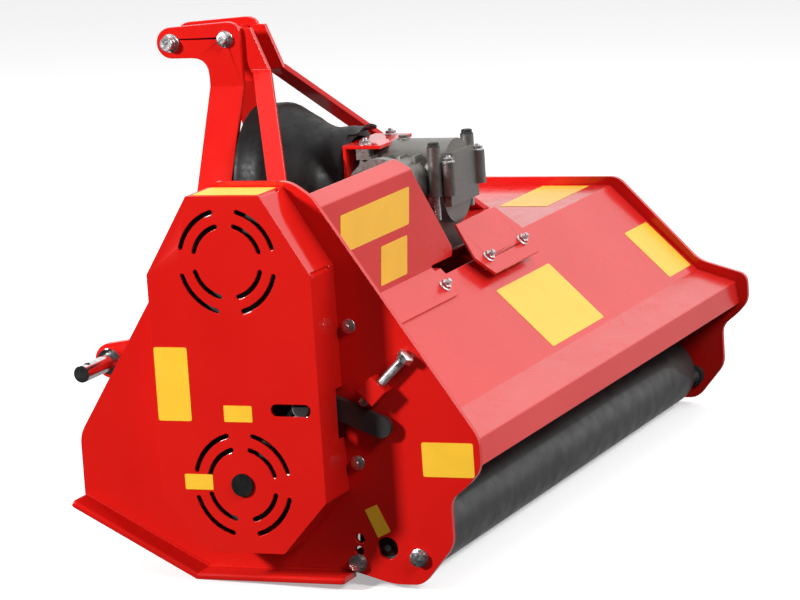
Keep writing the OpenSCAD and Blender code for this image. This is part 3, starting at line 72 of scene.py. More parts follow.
class Finish:
    """A Principled material with the few node helpers that every finish here uses."""

    def __init__(self, name):
        self.material = bpy.data.materials.new(name)
        self.material.use_nodes = True
        self.tree = self.material.node_tree
        self.shader = self.tree.nodes["Principled BSDF"]
        self.coords = self.tree.nodes.new("ShaderNodeTexCoord").outputs["Object"]

    def set(self, **values):
        for key, value in values.items():
            self.shader.inputs[key.replace("_", " ")].default_value = value
        return self

    def link(self, source, target):
        self.tree.links.new(source, target)

    def feed(self, name, source):
        self.link(source, self.shader.inputs[name])

    def noise(self, scale, detail, stretch=EVEN):
        """A grey noise; scale counts waves per metre."""
        mapping = self.tree.nodes.new("ShaderNodeMapping")
        mapping.inputs["Scale"].default_value = stretch
        self.link(self.coords, mapping.inputs["Vector"])
        texture = self.tree.nodes.new("ShaderNodeTexNoise")
        texture.inputs["Scale"].default_value = scale
        texture.inputs["Detail"].default_value = detail
        self.link(mapping.outputs["Vector"], texture.inputs["Vector"])
        return texture.outputs["Fac"]

    def ramp(self, source, *stops):
        """Maps a grey value to colours; a stop is (place, grey or colour)."""
        node = self.tree.nodes.new("ShaderNodeValToRGB")
        for element, (place, value) in zip(node.color_ramp.elements, stops):
            element.position = place
            grey = isinstance(value, (int, float))
            element.color = (value, value, value, 1.0) if grey else (*value, 1.0)
        self.link(source, node.inputs["Fac"])
        return node.outputs["Color"]

    def mix(self, factor, first, second):
        node = self.tree.nodes.new("ShaderNodeMix")
        node.data_type = "RGBA"
        self.link(factor, node.inputs["Factor"])
        for socket, value in ((node.inputs["A"], first), (node.inputs["B"], second)):
            if isinstance(value, tuple):
                socket.default_value = (*value, 1.0)
            else:
                self.link(value, socket)
        return node.outputs["Result"]

    def edges(self, low, high):
        """White on sharp outer edges, black elsewhere: the mask of the painted edge highlight."""
        geometry = self.tree.nodes.new("ShaderNodeNewGeometry")
        return self.ramp(geometry.outputs["Pointiness"], (low, 0.0), (high, 1.0))

    def bump(self, height, distance, strength, below=None):
        node = self.tree.nodes.new("ShaderNodeBump")
        node.inputs["Distance"].default_value = distance
        node.inputs["Strength"].default_value = strength
        self.link(height, node.inputs["Height"])
        if below is not None:
            self.link(below, node.inputs["Normal"])
        return node.outputs["Normal"]


def paint(name, colour, shade, gloss=0.09):
    """Sprayed enamel: faint colour drift, orange peel, and a painted highlight, a thin lighter line along
    sharp edges.
    """
    f = Finish(name).set(Specular_IOR_Level=0.4, Coat_Weight=0.15, Coat_Roughness=0.04)
    drift = f.ramp(f.noise(scale=5.0, detail=4.0), (0.30, shade), (0.70, colour))
    # Painted highlight: the enamel is lighter along sharp edges, standing in for the light they catch.
    edge_highlight = tint(colour, factor=1.15, lift=0.03)
    f.feed("Base Color", f.mix(f.edges(low=0.56, high=0.72), drift, edge_highlight))
    f.feed("Roughness", f.ramp(f.noise(scale=40.0, detail=5.0), (0.25, gloss * 0.8), (0.8, gloss * 1.6)))
    peel = f.bump(f.noise(scale=300.0, detail=1.0), distance=0.00002, strength=0.1)
    f.feed("Normal", f.bump(f.noise(scale=9.0, detail=1.0), distance=0.0004, strength=0.2, below=peel))
    return f.material


def plated(name, colour, rough, grain=EVEN):
    """Bright zinc, chrome or turned steel: cloudy reflection with fine tool marks."""
    f = Finish(name).set(Metallic=1.0)
    dull = tint(colour, factor=0.72)
    f.feed("Base Color", f.ramp(f.noise(scale=90.0, detail=5.0), (0.3, dull), (0.65, colour)))
    marks = f.noise(scale=260.0, detail=4.0, stretch=grain)
    f.feed("Roughness", f.ramp(marks, (0.3, rough * 0.7), (0.75, rough * 1.5)))
    fine = f.noise(scale=500.0, detail=2.0, stretch=grain)
    f.feed("Normal", f.bump(fine, distance=0.00003, strength=0.2))
    return f.material


def cast(name, colour, rough, metal=0.85):
    """Sand-cast metal: grainy skin, with painted shade making the hollows of its bump darker."""
    f = Finish(name).set(Metallic=metal)
    skin = f.noise(scale=240.0, detail=2.0)
    # Painted shade: where the skin noise is low, in the hollows of the bump, the colour is darkened.
    dark = tint(colour, factor=0.88)
    patchy = f.ramp(f.noise(scale=22.0, detail=4.0), (0.3, tint(colour, factor=0.8)), (0.7, colour))
    f.feed("Base Color", f.mix(f.ramp(skin, (0.35, 0.0), (0.5, 1.0)), dark, patchy))
    f.feed("Roughness", f.ramp(skin, (0.3, rough * 1.3), (0.7, rough * 0.8)))
    f.feed("Normal", f.bump(skin, distance=0.0003, strength=0.3))
    return f.material


def rubber(name, colour, rough):
    """Moulded rubber with a faint bloom."""
    f = Finish(name).set(Specular_IOR_Level=0.2)
    bloom = tint(colour, factor=1.8, lift=0.003)
    f.feed("Base Color", f.ramp(f.noise(scale=30.0, detail=5.0), (0.35, colour), (0.8, bloom)))
    f.feed("Roughness", f.ramp(f.noise(scale=120.0, detail=4.0), (0.3, rough * 0.8), (0.75, rough * 1.35)))
    f.feed("Normal", f.bump(f.noise(scale=520.0, detail=3.0), distance=0.0001, strength=0.35))
    return f.material


def film(name, colour):
    """Plain coloured film, slightly uneven and glossy."""
    f = Finish(name).set(Specular_IOR_Level=0.5)
    pale = tint(colour, factor=1.08)
    f.feed("Base Color", f.ramp(f.noise(scale=26.0, detail=4.0), (0.3, colour), (0.7, pale)))
    f.feed("Roughness", f.ramp(f.noise(scale=60.0, detail=3.0), (0.3, 0.28), (0.7, 0.4)))
    f.feed("Normal", f.bump(f.noise(scale=90.0, detail=2.0), distance=0.0001, strength=0.3))
    return f.material


RED = paint("red_enamel", (0.66, 0.012, 0.008), (0.60, 0.008, 0.006))
# Painted sheen: the hood, guard and access plate get a pinker copy of the red enamel, standing in for their
# pale reflection.
HOOD_RED_SHEEN = paint("hood_enamel_sheen", (0.66, 0.022, 0.020), (0.61, 0.014, 0.012), gloss=0.2)
ZINC = plated("zinc_plate", (0.66, 0.66, 0.67), rough=0.32)
CHROME = plated("bright_pin", (0.82, 0.82, 0.84), rough=0.14)
STEEL = plated("turned_steel", (0.60, 0.60, 0.62), rough=0.34, grain=(1.0, 6.0, 6.0))
ALLOY = cast("cast_alloy", (0.27, 0.255, 0.24), rough=0.36)
IRON = cast("dark_iron", (0.032, 0.030, 0.030), rough=0.55, metal=0.3)
BLACK = paint("black_enamel", (0.032, 0.031, 0.032), (0.020, 0.020, 0.020), gloss=0.36)
ROLLER_BLACK = paint("roller_enamel", (0.026, 0.025, 0.025), (0.008, 0.008, 0.008), gloss=0.4)
RUBBER = rubber("black_rubber", (0.006, 0.0055, 0.0055), rough=0.45)
FILM = film("yellow_film", (0.87, 0.50, 0.03))

# Finish of each material slot, with the rounding of its edges in metres.
SLOT_LOOK = {"red_paint": (RED, 0.0012), "zinc": (ZINC, 0.0008), "chrome": (CHROME, 0.0009),
             "cast_alloy": (ALLOY, 0.0022), "black_rubber": (RUBBER, 0.0012), "steel": (STEEL, 0.0008),
             "dark_iron": (IRON, 0.0015), "black_paint": (BLACK, 0.0012)}
NODE_FINISH = {"hood_sheet": HOOD_RED_SHEEN, "shaft_guard": HOOD_RED_SHEEN, "access_plate": HOOD_RED_SHEEN,
               "roller": ROLLER_BLACK}
SKID_EDGE = 0.003
MERGE_GAP = 0.00002
EDGE_ANGLE = math.radians(35)
EDGE_STEPS = 2


def soften(obj, width):
    """Rounds the edges of a piece so that they catch the light."""
    weld = obj.modifiers.new("weld", "WELD")
    weld.merge_threshold = MERGE_GAP
    bevel = obj.modifiers.new("edges", "BEVEL")
    bevel.width = width
    bevel.segments = EDGE_STEPS
    bevel.limit_method = "ANGLE"
    bevel.angle_limit = EDGE_ANGLE
    bevel.use_clamp_overlap = True
    normals = obj.modifiers.new("normals", "WEIGHTED_NORMAL")
    normals.keep_sharp = True


def dress_nodes():
    """Gives every CAD node its finish and its rounded edges."""
    for part in frame["record"]["subparts"]:
        name = part["node"]
        finish, edge = SLOT_LOOK[part["material_slot"]]
        obj = nodes[name]
        obj.data.materials.clear()
        obj.data.materials.append(NODE_FINISH.get(name, finish))
        soften(obj, SKID_EDGE if name.startswith("skid") else edge)


dress_nodes()

# Everything from here to the stage is in the machine's frame, in millimetres.
# Places that the added pieces share, from the CAD's own sizes.
SIDES = (-1, 1)
HALF_W = 530.0
PLATE_OUT = 538.0
COVER_X = 608.0
COVER_TOP_Z = 491.0
DRIVE_Y = 169.0
DRIVE_Z = 412.0
ROTOR_Z = 141.0
LUG_X = 328.0
HOOD_FOLD = (89.0, 319.0)
SLOPE_RUN = 126.0
SLOPE_FALL = 123.0
SLOPE = math.atan2(SLOPE_FALL, SLOPE_RUN)
SLOPE_UP = (0.0, math.cos(SLOPE), math.sin(SLOPE))
SLOPE_OUT = (0.0, -SLOPE_UP[2], SLOPE_UP[1])

# Hex corner radius, height of head and nut, flange radius, thread radius and pitch of the two bolt sizes.
M12_CORNER = 10.4
M12_HEAD = 8.0
M12_NUT = 7.6
M12_FLANGE = 11.2
M12_RADIUS = 6.0
M12_PITCH = 1.75
M8_CORNER = 7.4
M8_HEAD = 6.0
M8_FLANGE = 8.6
M8_RADIUS = 4.0
M8_PITCH = 1.0

# How bolts, threads, weld beads and films are drawn: counts, millimetres, and shares of the piece's own size.
TURN_SIDES = 36
HEX_SIDES = 48
HEX_TURNED_SHARE = 0.97
HEX_SLANT_SHARE = 0.6
HEX_CROWN_SHARE = 0.92
FLANGE_EDGE = 1.0
FLANGE_TOP = 2.4
WASHER_EASE = 0.4
THREAD_SIDES = 24
THREAD_DEPTH_SHARE = 0.55
THREAD_CREST_SHARES = (0.35, 0.5)
THREAD_FOOT_SHARE = 0.9
THREAD_END_SHARES = (0.94, 0.78)
WELD_STEP = 3.0
WELD_SIDES = 10
WELD_RIPPLE_SHARE = 0.14
WELD_WAVE = 2.1
WELD_TAPER_SHARE = 0.55
FILM_OFF = 0.15
FILM_THICK = 0.25
FILM_EASE = 3.0
SMALL_FILM_EASE = 1.5
CORNER_STEPS = 4


def axes_along(axis):
    """Two cross directions and the unit direction of an axis."""
    w = Vector(axis).normalized()
    u = (Vector((0, 0, 1)) if abs(w.z) < 0.9 else Vector((1, 0, 0))).cross(w).normalized()
    return u, w.cross(u), w


class Piece:
    """One added piece: its points in the machine's frame in millimetres, and what it rides on."""

    def __init__(self, name, finish, slot, body="frame"):
        self.name, self.material, self.slot_name, self.body = name, finish, slot, body
        self.points, self.faces = [], []

    def loft(self, rings, loop=False):
        """Skin over rings of equally many points, with end caps, or with the last ring joined to the first."""
        first, count = len(self.points), len(rings[0])
        for ring in rings:
            self.points.extend(ring)
        for i in range(len(rings) if loop else len(rings) - 1):
            a, b = first + i * count, first + (i + 1) % len(rings) * count
            for k in range(count):
                n = (k + 1) % count
                self.faces.append((a + k, a + n, b + n, b + k))
        if not loop:
            self.faces.append(tuple(first + k for k in reversed(range(count))))
            self.faces.append(tuple(first + (len(rings) - 1) * count + k for k in range(count)))

    def lathe(self, place, axis, profile, count=TURN_SIDES, loop=False, shape=None):
        """Turned form; the profile lists (radius, distance along the axis)."""
        u, v, w = axes_along(axis)
        rings = []
        for radius, along in profile:
            ring = []
            for k in range(count):
                a = math.tau * k / count
                r = radius if shape is None else shape(radius, along, a)
                ring.append(Vector(place) + w * along + (u * math.cos(a) + v * math.sin(a)) * r)
            rings.append(ring)
        self.loft(rings, loop=loop)

    def washer(self, place, axis, outer, inner, thick):
        """Flat ring with eased outer edges."""
        ease = min(WASHER_EASE, thick / 4)
        self.lathe(place, axis, [(inner, 0), (outer - ease, 0), (outer, ease), (outer, thick - ease),
                                 (outer - ease, thick), (inner, thick)], loop=True)

    def hexagon(self, place, axis, corner, height, flange=0.0):
        """Hex head or nut with its corners turned off, on a round foot if flange is given."""
        u, v, w = axes_along(axis)
        flat = corner * math.cos(math.pi / 6)
        low, high, top = [], [], []
        for k in range(HEX_SIDES):
            a = math.tau * k / HEX_SIDES
            radius = flat / math.cos((a + math.pi / 6) % (math.pi / 3) - math.pi / 6)
            way = u * math.cos(a) + v * math.sin(a)
            low.append(Vector(place) + way * radius)
            high.append(low[-1] + w * (height - (radius - flat * HEX_TURNED_SHARE) * HEX_SLANT_SHARE))
            top.append(Vector(place) + way * flat * HEX_CROWN_SHARE + w * height)
        self.loft([low, high, top])
        if flange:
            self.lathe(place, axis, [(flange, 0), (flange, FLANGE_EDGE), (flat, FLANGE_TOP)])

    def thread(self, place, axis, radius, start, end, pitch=M12_PITCH):
        """Ribbed shank with a turned-off end."""
        root = radius - THREAD_DEPTH_SHARE * pitch
        profile = [(root, start)]
        along = start
        while along + pitch < end - pitch:
            profile += [(radius, along + pitch * share) for share in THREAD_CREST_SHARES]
            profile.append((root, along + pitch * THREAD_FOOT_SHARE))
            along += pitch
        profile += [(radius * THREAD_END_SHARES[0], end - pitch), (radius * THREAD_END_SHARES[1], end)]
        self.lathe(place, axis, profile, count=THREAD_SIDES)

    def weld(self, path, radius):
        """Rippled bead along a line of points."""
        path = [Vector(p) for p in path]
        steps = []
        for a, b in zip(path, path[1:]):
            count = max(2, round((b - a).length / WELD_STEP))
            steps += [a.lerp(b, k / count) for k in range(count)]
        steps.append(path[-1])
        last = len(steps) - 1
        turns = [math.tau * k / WELD_SIDES for k in range(WELD_SIDES)]
        rings = []
        for i, p in enumerate(steps):
            u, v, _ = axes_along(steps[min(i + 1, last)] - steps[max(i - 1, 0)])
            taper = WELD_TAPER_SHARE if i in (0, last) else 1.0
            swell = radius * (1.0 + WELD_RIPPLE_SHARE * math.sin(i * WELD_WAVE)) * taper
            rings.append([p + (u * math.cos(a) + v * math.sin(a)) * swell for a in turns])
        self.loft(rings)

    def patch(self, origin, across, upward, corners, ease):
        """Thin film on a flat face, with rounded corners."""
        u, v = Vector(across), Vector(upward)
        n = u.cross(v).normalized()
        outline = []
        for i, corner in enumerate(corners):
            c = Vector(corner)
            before = (Vector(corners[i - 1]) - c).normalized() * ease
            after = (Vector(corners[(i + 1) % len(corners)]) - c).normalized() * ease
            for k in range(CORNER_STEPS + 1):
                t = k / CORNER_STEPS
                outline.append(c + before * (1 - t) ** 2 + after * t ** 2)
        self.loft([[Vector(origin) + u * p.x + v * p.y + n * h for p in outline]
                   for h in (FILM_OFF, FILM_OFF + FILM_THICK)])

    def make(self, replaces=()):
        """Turns the gathered faces into an object of the scene."""
        mesh = bpy.data.meshes.new(self.name)
        mesh.from_pydata([STANCE @ (Vector(p) * MM) for p in self.points], [], self.faces)
        work = bmesh.new()
        work.from_mesh(mesh)
        bmesh.ops.recalc_face_normals(work, faces=work.faces)
        for face in work.faces:
            face.smooth = True
        for edge in work.edges:
            edge.smooth = edge.calc_face_angle(0.0) < EDGE_ANGLE
        work.to_mesh(mesh)
        work.free()
        mesh.materials.append(self.material)
        obj = bpy.data.objects.new(self.name, mesh)
        bpy.context.collection.objects.link(obj)
        if replaces:
            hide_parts(*replaces)
        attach(obj, self.body)


def slope_point(x, s, up):
    """A point on the hood's slope: sideways, up the slope from its upper fold, off the sheet."""
    return Vector((x, HOOD_FOLD[0] + s * SLOPE_UP[1] - up * SLOPE_UP[2],
                   HOOD_FOLD[1] + s * SLOPE_UP[2] + up * SLOPE_UP[1]))


# For each fastener: a stud or shank is where its thread starts and ends, a washer is its outer radius,
# inner radius and thickness, and a turned profile lists (radius, distance along the axis).
TENSION_TIP = (-547.5, 33.712, 229.129)
TENSION_TILT = math.radians(44.0)
TENSION_AXIS = (0.0, -math.cos(TENSION_TILT), math.sin(TENSION_TILT))
TENSION_SHANK = (2.0, 80.0)
TENSION_POINT = [(3.6, 0.0), (5.0, 0.8), (5.3, 2.4)]
TENSION_FACE = [(8.6, -0.6), (8.6, 0.2)]


def build_tension_bolt():
    """The belt tensioner's pushing bolt, with its thread."""
    bolt = Piece("tension_bolt_threaded", ZINC, "zinc", "tension_bolt")
    bolt.thread(TENSION_TIP, TENSION_AXIS, M12_RADIUS, *TENSION_SHANK)
    bolt.lathe(TENSION_TIP, TENSION_AXIS, TENSION_POINT)
    head = Vector(TENSION_TIP) + Vector(TENSION_AXIS) * TENSION_SHANK[1]
    bolt.lathe(head, TENSION_AXIS, TENSION_FACE)
    bolt.hexagon(head, TENSION_AXIS, M12_CORNER, M12_HEAD)
    bolt.make(replaces=["tension_bolt"])


ROLLER_BOLTS = ((-24.0, 40.0), (56.0, 31.0))
ROLLER_BRACKET_T = 8.0
ROLLER_STUD = (6.0, 12.0)
BEARING_REACH = 44.5
BEARING_TURNS = (45, 135, 225, 315)
BEARING_FLANGE_T = 10.0
BEARING_NUT = 5.8


def build_plate_bolts():
    """Roller bracket bolts through both plates and the nuts round the rotor bearings."""
    bolts = Piece("plate_fasteners", ZINC, "zinc")
    for side in SIDES:
        for y, z in ROLLER_BOLTS:
            bolts.hexagon((side * PLATE_OUT, y, z), (side, 0, 0), M12_CORNER, M12_HEAD, flange=M12_FLANGE)
            inner = (side * (HALF_W - ROLLER_BRACKET_T), y, z)
            bolts.hexagon(inner, (-side, 0, 0), M12_CORNER, M12_NUT)
            bolts.thread(inner, (-side, 0, 0), M12_RADIUS, *ROLLER_STUD)
    for turn in BEARING_TURNS:
        a = math.radians(turn)
        y, z = DRIVE_Y + BEARING_REACH * math.cos(a), ROTOR_Z + BEARING_REACH * math.sin(a)
        for x in (PLATE_OUT + BEARING_FLANGE_T, -HALF_W + BEARING_FLANGE_T):
            bolts.hexagon((x, y, z), (1, 0, 0), M8_CORNER, BEARING_NUT)
    bolts.make(replaces=["plate_bolts"])


STUD_Y = 48.0
STUD_ZS = (155.0, 322.0)
STUD_WASHER = (9.0, 4.0, 1.2)
PLATE_STUD = (5.0, 8.0)
HOOD_STUD = (5.0, 12.0)
ACCESS_NUT_XS = (-36.0, 90.0)
ACCESS_NUT_S = -22.0
ACCESS_NUT_UP = 16.0
ACCESS_SPACER = [(9.0, 0.0), (9.0, 0.8), (8.4, 1.4), (8.4, 11.0), (9.0, 12.0)]
GUARD_NUT_X = -181.0
GUARD_NUT_Y = 70.0
GUARD_NUT_UP = 4.0


def build_stud_nuts():
    """Nuts on the left plate, and on the guard's foot and the access plate with its spacers."""
    nuts = Piece("stud_fasteners", ZINC, "zinc")
    tubes = Piece("access_spacers", RED, "red_paint")
    for z in STUD_ZS:
        face, axis = (-PLATE_OUT, STUD_Y, z), (-1, 0, 0)
        nuts.washer(face, axis, *STUD_WASHER)
        nuts.hexagon(face, axis, M8_CORNER, M8_HEAD)
        nuts.thread(face, axis, M8_RADIUS, *PLATE_STUD, pitch=M8_PITCH)
    for x in ACCESS_NUT_XS:
        tubes.lathe(slope_point(x, ACCESS_NUT_S, 0.0), SLOPE_OUT, ACCESS_SPACER)
    faces = [slope_point(x, ACCESS_NUT_S, ACCESS_NUT_UP) for x in ACCESS_NUT_XS]
    faces.append(slope_point(GUARD_NUT_X, (GUARD_NUT_Y - HOOD_FOLD[0]) / SLOPE_UP[1], GUARD_NUT_UP))
    for face in faces:
        nuts.hexagon(face, SLOPE_OUT, M8_CORNER, M8_HEAD, flange=M8_FLANGE)
        nuts.thread(face, SLOPE_OUT, M8_RADIUS, *HOOD_STUD, pitch=M8_PITCH)
    nuts.make(replaces=["stud_nuts"])
    tubes.make()


EAR_OUT = 35.0
MAST_BOLT = (420.0, 609.0)
MAST_WASHER = (11.6, 6.0, 1.6)
MAST_CORNER = 10.2
MAST_THREAD_AT = 7.0
MAST_THREAD_ENDS = {-1: 12.0, 1: 10.0}
TOP_PIN = (501.0, 605.0)
TOP_PIN_END = 50.0
TOP_PIN_WASHER = (12.8, 9.5, 2.0)
# Radius, and distance in from the pin's end.
TOP_PIN_PROFILE = ((5.0, 1.2), (5.6, 0.0), (8.2, 0.0), (9.5, 1.4), (9.5, 5.0), (8.9, 5.6), (8.9, 8.0),
                   (9.5, 8.6))


def build_headstock_fasteners():
    """The bolt across the headstock's ears, and the turned top link pin."""
    bolt = Piece("headstock_fastener", ZINC, "zinc")
    for side in SIDES:
        face, axis = (side * EAR_OUT, *MAST_BOLT), (side, 0, 0)
        bolt.washer(face, axis, *MAST_WASHER)
        bolt.hexagon(face, axis, MAST_CORNER, M12_HEAD)
        bolt.thread(face, axis, M12_RADIUS, MAST_THREAD_AT, MAST_THREAD_ENDS[side])
    bolt.lathe((-EAR_OUT, *MAST_BOLT), (1, 0, 0), [(M12_RADIUS, 0.0), (M12_RADIUS, 2 * EAR_OUT)])
    bolt.make(replaces=["headstock_bolt"])
    pin = Piece("top_link_pin_turned", ZINC, "zinc")
    half = [(r, TOP_PIN_END - inward) for r, inward in TOP_PIN_PROFILE]
    pin.lathe((0, *TOP_PIN), (1, 0, 0), half + [(r, -a) for r, a in reversed(half)])
    for side in SIDES:
        pin.washer((side * EAR_OUT, *TOP_PIN), (side, 0, 0), *TOP_PIN_WASHER)
    pin.make(replaces=["top_link_pin"])


UP = (0, 0, 1)
TALL_BOLT = (60.0, 120.0)
TALL_HEAD_Z = 465.0
TALL_FOOT_Z = 368.0
TALL_SHANK = [(4.4, 0.0), (5.0, 0.8), (5.0, 96.0)]
CASING_NUTS = ((53.0, 103.0, 444.0), (64.0, 223.0, 424.0), (45.0, 223.0, 467.0))
CASING_CORNER = 7.2
CASING_NUT = 5.6
CASING_FLANGE = 8.4
CASING_RADIUS = 3.8
CASING_STUD = (5.0, 8.6)
FIN_YS = (146.0, 168.0, 190.0, 208.0)
FIN_HALF = 2.2
FIN_OUTLINE = ((34.0, 455.0), (63.0, 428.0), (66.0, 428.0), (66.0, 424.0), (52.0, 424.0), (30.0, 448.0))
LEDGE_OUTLINE = ((40.0, 140.0), (67.0, 140.0), (67.0, 212.0), (40.0, 212.0))
LEDGE_ZS = (420.0, 424.0)
PLUG = (0.0, 186.0)
PLUG_FOOT_Z = 465.0
PLUG_FOOT = [(9.0, 0.0), (9.0, 3.4), (8.0, 4.2)]
PLUG_HEX_Z = 469.0
PLUG_HEX = (7.0, 4.0)
NECK_X = -122.0
NECK_RING = [(38.4, -8.8), (48.0, -8.8), (48.7, -8.0), (48.7, 7.0), (47.0, 8.0), (38.0, 12.0)]


def build_gearbox_fasteners():
    """Bolts, nuts and small castings of the gearbox."""
    bolts = Piece("gearbox_fasteners", ZINC, "zinc")
    dark = Piece("tall_bolt_heads", IRON, "zinc")
    for side in SIDES:
        tall = (side * TALL_BOLT[0], TALL_BOLT[1])
        dark.hexagon((*tall, TALL_HEAD_Z), UP, M8_CORNER, M8_HEAD, flange=CASING_FLANGE)
        bolts.lathe((*tall, TALL_FOOT_Z), UP, TALL_SHANK)
        for x, y, z in CASING_NUTS:
            bolts.hexagon((side * x, y, z), UP, CASING_CORNER, CASING_NUT, flange=CASING_FLANGE)
            bolts.thread((side * x, y, z), UP, CASING_RADIUS, *CASING_STUD, pitch=M8_PITCH)
    bolts.make(replaces=["gearbox_bolts"])
    dark.make()
    trim = Piece("gearbox_castings", ALLOY, "cast_alloy")
    for y in FIN_YS:
        for side in SIDES:
            trim.loft([[Vector((side * x, y + d, z)) for x, z in FIN_OUTLINE] for d in (-FIN_HALF, FIN_HALF)])
    for side in SIDES:
        trim.loft([[Vector((side * x, y, z)) for x, y in LEDGE_OUTLINE] for z in LEDGE_ZS])
    trim.lathe((*PLUG, PLUG_FOOT_Z), UP, PLUG_FOOT)
    trim.hexagon((*PLUG, PLUG_HEX_Z), UP, *PLUG_HEX)
    trim.lathe((NECK_X, DRIVE_Y, DRIVE_Z), (1, 0, 0), NECK_RING)
    trim.make()


SHIELD_SIDES = 72
SHIELD_OUTER = [(60.0, 251.5), (69.0, 251.7), (72.3, 253.5), (73.2, 259.0), (72.4, 270.0), (71.4, 281.0),
                (73.0, 291.0), (76.8, 301.0), (82.0, 310.5), (87.4, 318.5), (91.6, 327.0), (97.5, 337.5),
                (102.8, 346.5), (105.8, 354.0), (106.4, 362.0), (105.6, 374.0), (105.8, 385.0),
                (106.6, 388.5), (105.6, 391.4)]
SHIELD_INNER = [(103.0, 391.6), (101.8, 387.0), (101.9, 362.0), (100.8, 355.0), (93.0, 341.0),
                (84.0, 325.0), (77.5, 313.0), (71.5, 301.0), (68.0, 290.0), (67.2, 281.0), (68.4, 263.0),
                (66.0, 256.0), (60.0, 255.6)]
SLUMP_FROM = 270.0
SLUMP_RUN = 60.0
SLUMP_DEPTH = 1.1
SLUMP_COUNT = 2.0
SLUMP_TURN = 0.7
RIPPLE_DEPTH = 0.5
RIPPLE_COUNT = 5.0
TONGUE_STEPS = ((255.0, 0.0), (249.0, 0.2), (243.0, 0.8), (238.0, 2.2), (236.5, 3.6))
TONGUE_RADII = (72.0, 69.2)
TONGUE_ARC = [math.radians(a) for a in range(-24, 25, 4)]


def slump(radius, along, angle):
    """The shield's sag, which grows towards its rim."""
    share = min(1.0, max(0.0, (along - SLUMP_FROM) / SLUMP_RUN))
    sag = SLUMP_DEPTH + SLUMP_DEPTH * math.sin(SLUMP_COUNT * angle + SLUMP_TURN)
    return radius - share * sag - RIPPLE_DEPTH * share * math.sin(RIPPLE_COUNT * angle)


def build_shield():
    """Soft rubber shield round the stub, with a rolled rim, a waist and a tongue over its bracket."""
    shield = Piece("rubber_shield", RUBBER, "black_rubber")
    shield.lathe((0, 0, DRIVE_Z), (0, 1, 0), SHIELD_OUTER + SHIELD_INNER, count=SHIELD_SIDES, loop=True,
                 shape=slump)
    rings = []
    for y, lift in TONGUE_STEPS:
        ring = []
        for radius, arc in zip(TONGUE_RADII, (TONGUE_ARC, TONGUE_ARC[::-1])):
            r = radius + lift
            ring += [Vector((math.sin(a) * r, y, DRIVE_Z + math.cos(a) * r)) for a in arc]
        rings.append(ring)
    shield.loft(rings)
    shield.make(replaces=["pto_shield"])


BRACE_FOOT_X = 321.0
SKID_BEAD_OFF = 0.4
BOSS_BEAD_OFF = 0.2
# Beads: sideways place, line of (y, z) points and radius. Those in SIDE_BEADS are on both sides.
SIDE_BEADS = ((BRACE_FOOT_X, ((204.0, 320.0), (230.0, 320.0)), 2.2),
              (LUG_X, ((396.0, 257.0), (446.0, 257.0)), 2.4),
              (PLATE_OUT + SKID_BEAD_OFF, ((70.0, 20.6), (255.0, 20.6), (416.0, 106.0)), 1.6))
BOSS_BEAD = (-PLATE_OUT - BOSS_BEAD_OFF, ((22.0, 243.0), (3.0, 261.5)), 1.8)


def build_welds():
    """Beads at the brace feet, the lower lugs, the skids and the tension boss."""
    beads = Piece("weld_beads", RED, "red_paint")
    mirrored = [(side * x, line, radius) for side in SIDES for x, line, radius in SIDE_BEADS]
    for x, line, radius in (*mirrored, BOSS_BEAD):
        beads.weld([(x, y, z) for y, z in line], radius)
    beads.make()


def box(left, low, right, high):
    """Corners of an upright rectangle."""
    return [(left, low), (right, low), (right, high), (left, high)]


# Flat faces that carry films: origin, direction across and direction up. The guard leans back by 4 degrees.
GUARD_FACE = ((0, 89.01, 322.6), (1, 0, 0), (0, -0.0698, 0.9976))
SLOPE_FACE = ((0, *HOOD_FOLD), (1, 0, 0), SLOPE_UP)
TOP_FACE = ((0, 0, HOOD_FOLD[1]), (1, 0, 0), (0, 1, 0))
COVER_FACE = ((-COVER_X, 0, 0), (0, -1, 0), (0, 0, 1))
CROWN_FACE = ((0, 0, COVER_TOP_Z), (1, 0, 0), (0, 1, 0))
PLATE_FACE = ((-PLATE_OUT, 0, 0), (0, -1, 0), (0, 0, 1))
FILMS = ((GUARD_FACE, box(-466, 73, -246, 121), FILM_EASE),
         (GUARD_FACE, box(-338, 10, -252, 60), FILM_EASE),
         (SLOPE_FACE, box(-62, -168, 138, -63), FILM_EASE),
         (SLOPE_FACE, box(424, -166, 520, -76), FILM_EASE),
         (TOP_FACE, box(340, 118, 520, 190), FILM_EASE),
         (COVER_FACE, box(-274, 218, -230, 308), FILM_EASE),
         (COVER_FACE, box(-187, 218, -150, 238), SMALL_FILM_EASE),
         (COVER_FACE, box(-245, 134, -208, 153), SMALL_FILM_EASE),
         (PLATE_FACE, box(36, 140, 102, 182), FILM_EASE),
         (PLATE_FACE, [(-28, 63), (-11, 71), (-27, 104), (-43, 97)], SMALL_FILM_EASE),
         (CROWN_FACE, box(-600, 126, -546, 212), FILM_EASE))


def build_films():
    """Plain thin films on the guard, hood, cover and plate."""
    films = Piece("plain_films", FILM, "red_paint")
    for face, corners, ease in FILMS:
        films.patch(*face, corners, ease)
    films.make()


build_tension_bolt()
build_plate_bolts()
build_stud_nuts()
build_headstock_fasteners()
build_gearbox_fasteners()
build_shield()
build_welds()
build_films()

# The stage, in metres in the row frame. The floor glows a little, so that it reads as white paper.
FLOOR_HALF = 30.0
FLOOR_GLOW = 0.35
WHITE = (1.0, 1.0, 1.0, 1.0)
# World brightness along two axes of the direction looked in: span of the axis, and strength at its ends.
SKY = (("X", (-0.35, 0.6), (0.07, 1.05)), ("Z", (-0.14, 0.1), (0.35, 1.0)))
# Name, place, aim, size and power in watts.
LIGHTS = (("key", (-3.4, 2.6, 1.95), (-0.3, 0.0, 0.3), (0.5, 0.5), 250.0),
          ("top", (0.5, -0.3, 3.6), (0.1, 0.0, 0.2), (3.0, 2.0), 35.0),
          ("rear", (1.5, -2.6, 2.5), (0.1, 0.0, 0.25), (2.4, 1.6), 50.0),
          ("side", (-1.7, -2.7, 2.5), (-0.2, 0.0, 0.25), (1.0, 1.0), 65.0))


